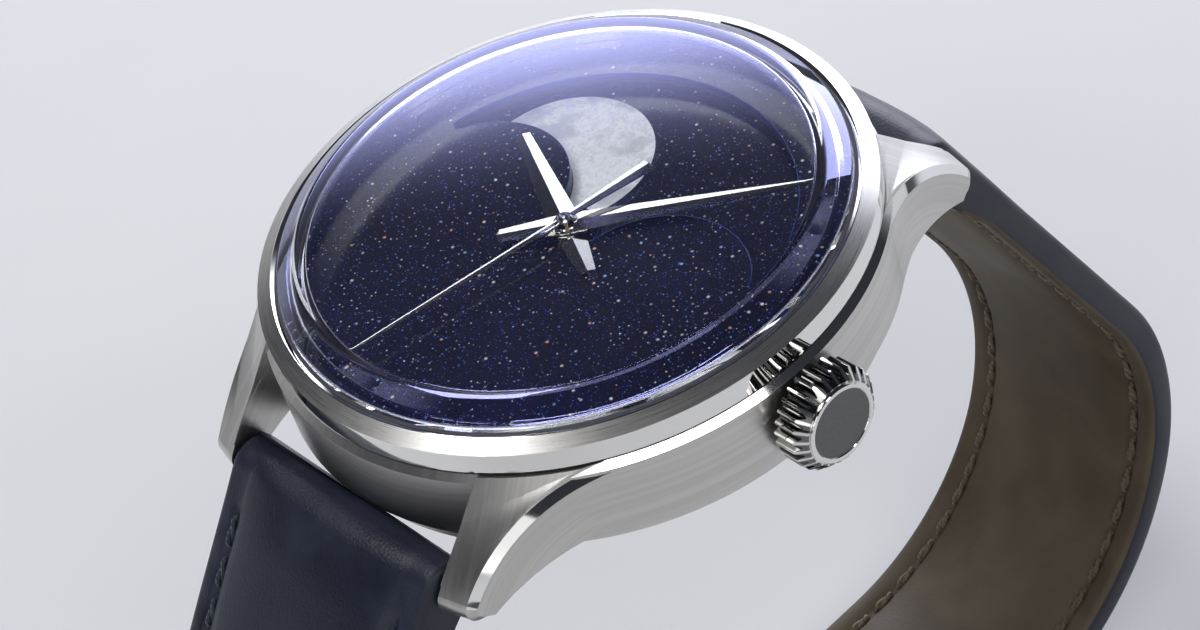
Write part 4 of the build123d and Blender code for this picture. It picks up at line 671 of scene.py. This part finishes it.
def section(station):
    # One section's closed loop, top first: across in x, out from the middle line
    y, z, ny, nz, run = station
    lean = strap["nearLean"] * (1 - smooth(run / strap["nearLength"])) if y < 0 else 0.0
    half, root, offset = widthAt(z), strap["rootRadius"], strap["offset"]
    if run < 0:
        span = sqrt(max(root ** 2 - run ** 2, 1e-9))
        high, low = span - offset, -span - offset
    else:
        high, low = root - offset, -liningDepth(run)
    pad = padAt(run) * smooth((run + 0.004) / 0.008)
    corner = min(strap["edgeRound"], (high - low) * 0.45)
    seam = half - strap["stitchInset"]
    fades = smooth((run - 0.0018) / 0.002)
    puff = strap["puff"] * fades * sin(pi * (run - strap["firstStitch"]) / strap["stitchPitch"]) ** 2
    arc = [(half - corner + corner * cos(pi / 2 * share), corner * sin(pi / 2 * share))
           for share in strap["corner"]]
    ups = [(x, high - corner + up) for x, up in arc]
    for along, dip, lift, swell in strap["topRows"]:
        ups.append((seam - along, high + pad * lift + puff * swell - strap["grooveDepth"] * dip * fades))
    ups.append((0.0, high + pad))
    downs = [(x, low + corner - up) for x, up in arc]
    for along, dip in strap["liningRows"]:
        downs.append((seam - along, low + strap["grooveDepth"] * dip * fades))
    downs.append((0.0, low))
    loop = ups + [(-x, up) for x, up in reversed(ups[:-1])]
    loop += [(-x, up) for x, up in downs] + [(x, up) for x, up in reversed(downs[:-1])]
    return [(x, y + ny * up, z + nz * up + lean * x / half * smooth((up - low) / (high - low)))
            for x, up in loop], len(ups)


def strapMesh(name, line, tail, side):
    # tail is the length at the end that rounds off towards a tip
    points = []
    for station in line:
        ring, topCount = section(station)
        run, tailFrom = station[4], line[-1][4] - tail
        if tail and run > tailFrom:
            squeeze = sqrt(max(0.0, 1 - min(1.0, (run - tailFrom) / tail) ** 2.2))
            ring = [(x * max(squeeze, 0.03), y, z) for x, y, z in ring]
        for x, y, z in ring:
            clear = caseRadius(z)
            if run < strap["padFlat"] and hypot(x, y) < clear:
                y = side * sqrt(max(clear ** 2 - x ** 2, 0))
            points.append((x, y, z))
    rows = len(line)
    size = len(points) // rows
    faces = ringFaces(rows, size)
    faces += [tuple(range(size)), tuple(reversed(range((rows - 1) * size, rows * size)))]
    made = newMesh(name, points, faces, (navyHide, edgePaint, liningHide), "case")
    topEnd = 2 * topCount - 1
    edgeSteps = {0, 1, *range(topEnd - 3, topEnd + 2), size - 1, size - 2}
    for polygon in made.data.polygons[:(rows - 1) * size]:
        row, step = divmod(polygon.index, size)
        if step in edgeSteps:
            polygon.material_index = 1
        elif step >= topEnd and line[row][4] > strap["liningFrom"]:
            polygon.material_index = 2
    return made


def twistedStitch(points, faces, centre, along, up):
    # Two strands laid round each other that dive into the leather at both ends
    along, up = Vector(along).normalized(), Vector(up).normalized()
    aside = along.cross(up)
    rings, sides = 11, 7
    for strand in (0, pi):
        start = len(points)
        for ring in range(rings):
            share = ring / (rings - 1) * 2 - 1
            turn = strand + 2.6 * share
            lay = strap["twist"] * (1 - share ** 6)
            middle = (Vector(centre) + along * (share * strap["stitchLength"] / 2) - up * (0.0006 * share ** 6)
                      + (aside * cos(turn) + up * sin(turn)) * lay)
            points += circle(middle, aside, up, strap["strand"], sides)
        faces += ringFaces(rings, sides, start)
        faces.append(tuple(start + n for n in reversed(range(sides))))
        faces.append(tuple(start + (rings - 1) * sides + n for n in range(sides)))


def stitchRow(name, line, last, face, finish):
    # face 1 sews the outer leather, -1 the lining
    points, faces = [], []
    run = strap["firstStitch"]
    while run < last:
        index = min(range(len(line)), key=lambda n: abs(line[n][4] - run))
        y, z, ny, nz, here = line[index]
        (y1, z1), (y2, z2) = line[max(index - 1, 0)][:2], line[min(index + 1, len(line) - 1)][:2]
        if face > 0:
            up = strap["rootRadius"] - strap["offset"] + padAt(run) * 0.1
        else:
            up = liningDepth(run)
        up -= strap["grooveDepth"] * 0.8 - strap["strand"]
        for hand in (-1, 1):
            centre = (hand * (widthAt(z) - strap["stitchInset"]), y + face * ny * up, z + face * nz * up)
            twistedStitch(points, faces, centre, (0, y2 - y1, z2 - z1), (0, face * ny, face * nz))
        run += strap["stitchPitch"]
    return newMesh(name, points, faces, (finish,), "case")


innerZ, outerZ = 0.00505, 0.0025
shortLine = strapLine(1)
flatRun(shortLine, [(-0.0058, innerZ)])
shortStrap = strapMesh("shortStrap", shortLine, 0, 1)
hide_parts("strap_short")

longLine = strapLine(-1)
flatRun(longLine, [(-0.0132, innerZ), (-0.0064, outerZ), (watch["bend"][0], outerZ)])
curvedRun(longLine, pi, pi - radians(22.0), watch["bend"][2] + innerZ - outerZ, 0.0006)
longStrap = strapMesh("longStrap", longLine, 0.009, -1)
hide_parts("strap_long")
for name, line, unsewn in (("short", shortLine, 0.012), ("long", longLine, 0.010)):
    stitchRow(name + "Stitches", line, line[-1][4] - unsewn, 1, navyThread)
    stitchRow(name + "LiningStitches", line, line[-1][4] - unsewn, -1, liningThread)
print("straps built")

# Keepers: leather bands with rounded edges; inside holds half the width, the floor and the top
keeper = {"inside": (0.00915, 0.0012, 0.00635), "width": 0.0045, "round": 0.0004,
          "edge": 0.0001, "cornerStep": 15}


def keeperBand(name, y, wall, body, node):
    inside, low, high = keeper["inside"]
    half, bevel, edge = keeper["width"] / 2, keeper["round"], keeper["edge"]
    outline = [(0.0, half - edge), (edge, half)]
    for step in range(5):
        angle = radians(22.5 * step)
        outline.append((wall - bevel + bevel * sin(angle), half - bevel + bevel * cos(angle)))
    outline += [(out, -along) for out, along in reversed(outline)]
    points = []
    for x, z, start in ((inside, high, 0), (-inside, high, 90), (-inside, low, 180), (inside, low, 270)):
        for step in range(7):
            angle = radians(start + keeper["cornerStep"] * step)
            points += [(x + cos(angle) * out, y + along, z + sin(angle) * out) for out, along in outline]
    faces = ringFaces(len(points) // len(outline), len(outline), looped=True)
    made = newMesh(name, points, faces, (navyHide,), body)
    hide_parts(node)


keeperBand("fixedKeeper", 0.0, 0.0012, "case", "fixed_keeper")
keeperBand("freeKeeper", 0.0048, 0.00105, "free_keeper", "free_keeper")
print("keepers built")


def makeCrown():
    look = crown
    slopeShare = (look["face"] - look["shoulder"]) / (look["radius"] - look["faceRadius"])
    points = []
    for tooth in range(look["count"]):
        for phase, cut in look["teeth"]:
            angle = 2 * pi * (tooth + phase) / look["count"]
            ridge = look["radius"] - look["depth"] * cut
            line = [*look["bore"], (look["start"], ridge - look["edge"]), (look["start"] + look["edge"], ridge),
                    (look["shoulder"] + (look["radius"] - ridge) * slopeShare, ridge), *look["rim"]]
            points += [(x, reach * cos(angle), crown["axisZ"] + reach * sin(angle)) for x, reach in line]
    faces = ringFaces(len(points) // len(line), len(line), closed=False, looped=True)
    made = newMesh("crownSteel", points, faces, (crownSteel,), "crown", 24, True)
    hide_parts("crown")


makeCrown()
print("crown built")

# Minute and seconds hands: two flat facets on upright sides, turned hubs
handLook = {
    "minute": {"node": "minute_hand", "body": "minute", "angle": 44.0, "depth": 0.0015, "tilt": 10.0, "side": 0.00008,
               "stops": ((-0.0043, 0.0005), (0.0, 0.00095), (0.0159, 0.00008)), "tip": 0.0003,
               "hub": ((0.00026, 0.0), (0.00086, 0.0), (0.00086, 0.0002), (0.0008, 0.00027), (0.00026, 0.00027))},
    "seconds": {"node": "seconds_hand", "body": "seconds", "angle": 191.0, "depth": 0.0010, "tilt": 13.0,
                "side": 0.00009, "stops": ((-0.0065, 0.00055), (0.0, 0.00021), (0.0163, 0.00007)), "tip": 0.0002,
                "hub": ((0.0, 0.0), (0.00052, 0.0), (0.00052, 0.0001), (0.00047, 0.00015), (0.0003, 0.00015),
                        (0.00029, 0.0003), (0.00025, 0.00034), (0.00014, 0.00034), (0.0001, 0.00028),
                        (0.0, 0.00028))},
}


def makeHand(name, look):
    turn, foot = radians(look["angle"]), watch["ringZ"] - look["depth"]
    aim, aside = Vector((sin(turn), cos(turn), 0)), Vector((cos(turn), -sin(turn), 0))
    (tail, tailHalf), (tip, tipHalf) = look["stops"][0], look["stops"][-1]
    line = [(tail - look["tip"] * 0.5, tailHalf * 0.35), *look["stops"], (tip + look["tip"], tipHalf * 0.35)]
    points, side = [], look["side"]
    for reach, half in line:
        for across, up in ((-half, 0.0), (-half, side), (0.0, side + half * tan(radians(look["tilt"]))),
                           (half, side), (half, 0.0)):
            spot = aim * reach + aside * across
            points.append((spot.x, spot.y, foot + up))
    start = len(points)
    faces = ringFaces(len(line), 5) + [tuple(range(5)), tuple(reversed(range(start - 5, start)))]
    bladeFaces = len(faces)
    hubPoints, hubFaces = lathe([(radius, foot + height) for radius, height in look["hub"]], 64)
    faces += [tuple(start + n for n in face) for face in hubFaces]
    made = newMesh(name + "HandFacets", points + hubPoints, faces, (handSteel,), look["body"], 4)
    for polygon in made.data.polygons:
        polygon.use_smooth = polygon.index >= bladeFaces
    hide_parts(look["node"])


for name, look in handLook.items():
    makeHand(name, look)
print("hands built")

# Fine polished bead on the edge of the moon's window
bead = {"radius": 0.00003, "inner": 0.0018, "outer": 0.0172, "sides": 6}


def makeBead():
    plate = cadNodes["dial_plate"]
    work = bmesh.new()
    work.from_mesh(plate.data)
    work.transform(plate.matrix_world)
    bmesh.ops.remove_doubles(work, verts=work.verts, dist=1e-7)
    top = max(vertex.co.z for vertex in work.verts)
    points, faces, upright = [], [], Vector((0, 0, 1))
    for edge in work.edges:
        first, last = edge.verts[0].co, edge.verts[1].co
        if len(edge.link_faces) != 2 or edge.calc_face_angle(0.0) < 1.0 or min(first.z, last.z) < top - 1e-6:
            continue
        reach = hypot((first.x + last.x) / 2, (first.y + last.y) / 2)
        if not bead["inner"] < reach < bead["outer"]:
            continue
        aside = (last - first).normalized().cross(upright)
        faces += ringFaces(2, bead["sides"], len(points))
        for end in (first, last):
            points += circle(end, aside, upright, bead["radius"], bead["sides"])
    work.free()
    newMesh("windowBead", points, faces, (beadGlass,), "case")


makeBead()
print("window bead built")

# Lug roots: a skin that runs smoothly from the case's shelf into each lug's crest
roots = {"shelfReach": 0.0202, "footReach": 0.0219, "footDepth": 0.0043, "innerX": 0.01026, "farX": 0.016,
         "tipX": 0.0127, "tipY": 0.02242, "leaveAngle": 34.85, "flank": 0.02035, "chamfer": 0.00045,
         "blend": 0.0011, "lift": 0.000012, "end": 0.0222, "hem": 0.0008, "across": 20, "rows": 36}


def rootSide():
    # The lug's outer side seen from above: an arc that leaves the flank along it and ends at the tip
    angle = radians(roots["leaveAngle"])
    normal = Vector((cos(angle), sin(angle)))
    start = Vector((roots["flank"] * cos(angle), roots["flank"] * sin(angle)))
    chord = Vector((roots["tipX"], roots["tipY"])) - start
    radius = chord.length_squared / (2 * chord.dot(normal))
    return start + normal * radius, abs(radius), 1 if radius > 0 else -1


def outerX(y, side):
    # x of the side at a height y, set in by the chamfer
    middle, radius, hand = side
    radius += roots["chamfer"] * hand
    return middle.x - hand * sqrt(max(radius ** 2 - (y - middle.y) ** 2, 0.0))


def rootHeight(x, y):
    # The shelf's cone and the crest's arc, run into each other
    look, depth = roots, lug["shelfDepth"]
    past, turn = max(0.0, hypot(x, y) - look["shelfReach"]), radians(lug["turn"])
    cone = -depth - past * (look["footDepth"] - depth) / (look["footReach"] - look["shelfReach"])
    out = max(y * cos(turn) + x * sin(turn) - lug["crestY"], 0.0)
    crest = -depth - lug["crestRadius"] + sqrt(max(lug["crestRadius"] ** 2 - out ** 2, 0.0))
    share = min(1.0, max(0.0, 0.5 + 0.5 * (cone - crest) / look["blend"]))
    return watch["ringZ"] + crest + (cone - crest) * share + look["blend"] * share * (1 - share) * 0.5 + look["lift"]


def rootY(share, x):
    # Rows run from the shelf's edge, an arc about the case's axis, to a straight line near the tip
    near = sqrt(roots["shelfReach"] ** 2 - x ** 2)
    return near + (roots["end"] - near) * share


def rootEdge(share, side):
    # Where a row meets the chamfer
    low, high = roots["innerX"], roots["farX"]
    for turn in range(40):
        middle = (low + high) / 2
        if outerX(rootY(share, middle), side) > middle:
            low = middle
        else:
            high = middle
    return low


def makeRoots():
    side, across, rows, inner = rootSide(), roots["across"], roots["rows"], roots["innerX"]
    points, faces = [], []
    for handX in (-1, 1):
        for handY in (-1, 1):
            faces += ringFaces(rows + 1, across + 3, len(points), closed=False)
            for row in range(rows + 1):
                edge = rootEdge(row / rows, side)
                for step in range(-1, across + 2):
                    x = inner + (edge - inner) * min(1.0, max(0.0, step / across))
                    y = rootY(row / rows, x)
                    drop = roots["hem"] if step in (-1, across + 1) else 0.0
                    points.append((handX * x, handY * y, rootHeight(x, y) - drop))
    newMesh("lugRoots", points, faces, (caseSteel,), "case", 35)


makeRoots()
print("lug roots built")

# Crystal, turned finer than the solid's mesh so that its edge refracts cleanly
crystalLook = {"radius": 0.0185, "foot": 0.0011, "sideRise": 0.00036, "hollowFoot": 0.0179,
               "rounds": (0.0003, 0.0008), "hollowRounds": (0.0003,),
               # reach and height of the shoulder, height of the top
               "dome": (0.0170, 0.00142, 0.00185), "hollow": (0.0163, 0.0006, 0.00095)}


def rounded(path, radii, count=8):
    # Path of (radius, height) points with its inner corners rounded
    made = [path[0]]
    for before, corner, after, radius in zip(path, path[1:], path[2:], radii):
        corner = Vector(corner)
        back, on = (Vector(before) - corner).normalized(), (Vector(after) - corner).normalized()
        half = back.angle(on) / 2
        middle = corner + (back + on).normalized() * (radius / sin(half))
        start, end = corner + back * (radius / tan(half)) - middle, corner + on * (radius / tan(half)) - middle
        turn = start.angle_signed(end)
        for step in range(count + 1):
            angle = -turn * step / count
            made.append((middle.x + start.x * cos(angle) - start.y * sin(angle),
                         middle.y + start.x * sin(angle) + start.y * cos(angle)))
    return made + [path[-1]]


def domeHeights(half, side, top, count=24):
    # From the edge to the axis, edge left out
    rise = top - side
    radius = (half ** 2 + rise ** 2) / (2 * rise)
    reaches = [half * (1 - step / count) for step in range(1, count + 1)]
    return [(reach, top - radius + sqrt(radius ** 2 - reach ** 2)) for reach in reaches]


look = crystalLook
domeSide, hollowSide = domeHeights(*look["dome"]), domeHeights(*look["hollow"])
outside = rounded([(look["radius"], -look["foot"]), (look["radius"], look["sideRise"]), look["dome"][:2],
                   domeSide[0]], look["rounds"])
inside = rounded([(look["hollowFoot"], -look["foot"]), look["hollow"][:2], hollowSide[0]], look["hollowRounds"])
profile = outside + domeSide[1:] + list(reversed(hollowSide[1:])) + list(reversed(inside))
points, faces = lathe([(radius, watch["ringZ"] + height) for radius, height in profile], 360)
crystal = newMesh("crystalGlass", points, faces, (sapphire,), "case", 20)
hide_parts("crystal")
print("crystal built")

stage = {"floorDark": (0.78, 0.78, 0.785, 1), "floorLight": (0.82, 0.82, 0.82, 1), "floorHalf": 3,
         "sweep": (0.66, 0.67, 0.69, 1), "ceiling": (0.032, 0.034, 0.042, 1), "sweepTop": (0.06, 0.28),
         "aim": (0.0, 0.0, 0.06), "fadePower": 3.2}


def makeFloor():
    half = stage["floorHalf"]
    mesh = bpy.data.meshes.new("studioFloor")
    mesh.from_pydata([(-half, -half, 0), (half, -half, 0), (half, half, 0), (-half, half, 0)], [], [(0, 1, 2, 3)])
    made = newObject("studioFloor", mesh)
    tree = newMaterial("studioFloor", {"Roughness": 0.7, "Specular IOR Level": 0.2})
    cloud = tree.noise(tree.coords(), Scale=30.0, Detail=3.0)
    mesh.materials.append(tree.dress(tree.mix(cloud, stage["floorDark"], stage["floorLight"])))


def makeWorld():
    # Pale near the horizon, as a studio sweep is, and dim overhead
    world = bpy.data.worlds.new("studio")
    scene.world = world
    world.use_nodes = True
    tree = shaderGraph(world.node_tree)
    height = tree.soft(tree.apart(tree.coords("Generated"))[2], *stage["sweepTop"])
    tree.wire(world.node_tree.nodes["Background"],
              {"Color": tree.mix(height, stage["sweep"], stage["ceiling"])})


def softbox(name, azimuth, elevation, distance, size, radiance, colour=(1, 1, 1), fade=None):
    # Aimed at the watch; fade (low, high) is the share of its height over which it dims upwards
    lamp = bpy.data.lights.new(name, "AREA")
    lamp.shape = "RECTANGLE"
    lamp.size, lamp.size_y = size
    lamp.energy = radiance * pi * size[0] * size[1]
    lamp.color = colour
    made = newObject(name, lamp)
    turn, rise = radians(azimuth), radians(elevation)
    away = Vector((cos(turn) * cos(rise), sin(turn) * cos(rise), sin(rise)))
    made.location = Vector(stage["aim"]) + away * distance
    made.rotation_euler = away.to_track_quat("Z", "Y").to_euler()
    if fade:
        lamp.use_nodes = True
        tree = shaderGraph(lamp.node_tree)
        level = tree.soft(tree.facing("Parametric")[1], fade[1], fade[0])
        tree.wire(lamp.node_tree.nodes["Emission"], {"Strength": tree.calc("POWER", level, stage["fadePower"])})


makeFloor()
makeWorld()
softbox("keyLight", -30.0, 48.0, 0.75, (1.0, 0.12), 5.4)
softbox("topLight", 212.0, 67.0, 0.85, (0.50, 0.27), 5.8)
softbox("sideStrip", -35.0, 15.0, 0.75, (1.5, 0.20), 1.0)
softbox("farPanel", 127.0, 23.0, 0.70, (0.92, 0.594), 4.5, (0.86, 0.89, 1.0), (0.68, 1.0))

camera = {"turns": (("Z", 59.752), ("X", 47.939), ("Z", -19.099)), "lens": 102.7256,
          "place": (0.140619, -0.081814, 0.20550975)}


def makeCamera():
    data = bpy.data.cameras.new("photoCamera")
    data.lens = camera["lens"]
    data.sensor_fit = "HORIZONTAL"
    data.clip_start, data.clip_end = 0.01, 20.0
    made = newObject("photoCamera", data)
    made.matrix_world = Matrix.Translation(camera["place"])
    for axis, angle in camera["turns"]:
        made.matrix_world = made.matrix_world @ Matrix.Rotation(radians(angle), 4, axis)
    scene.camera = made


makeCamera()
scene.view_settings.view_transform = "Standard"
print("stage built")
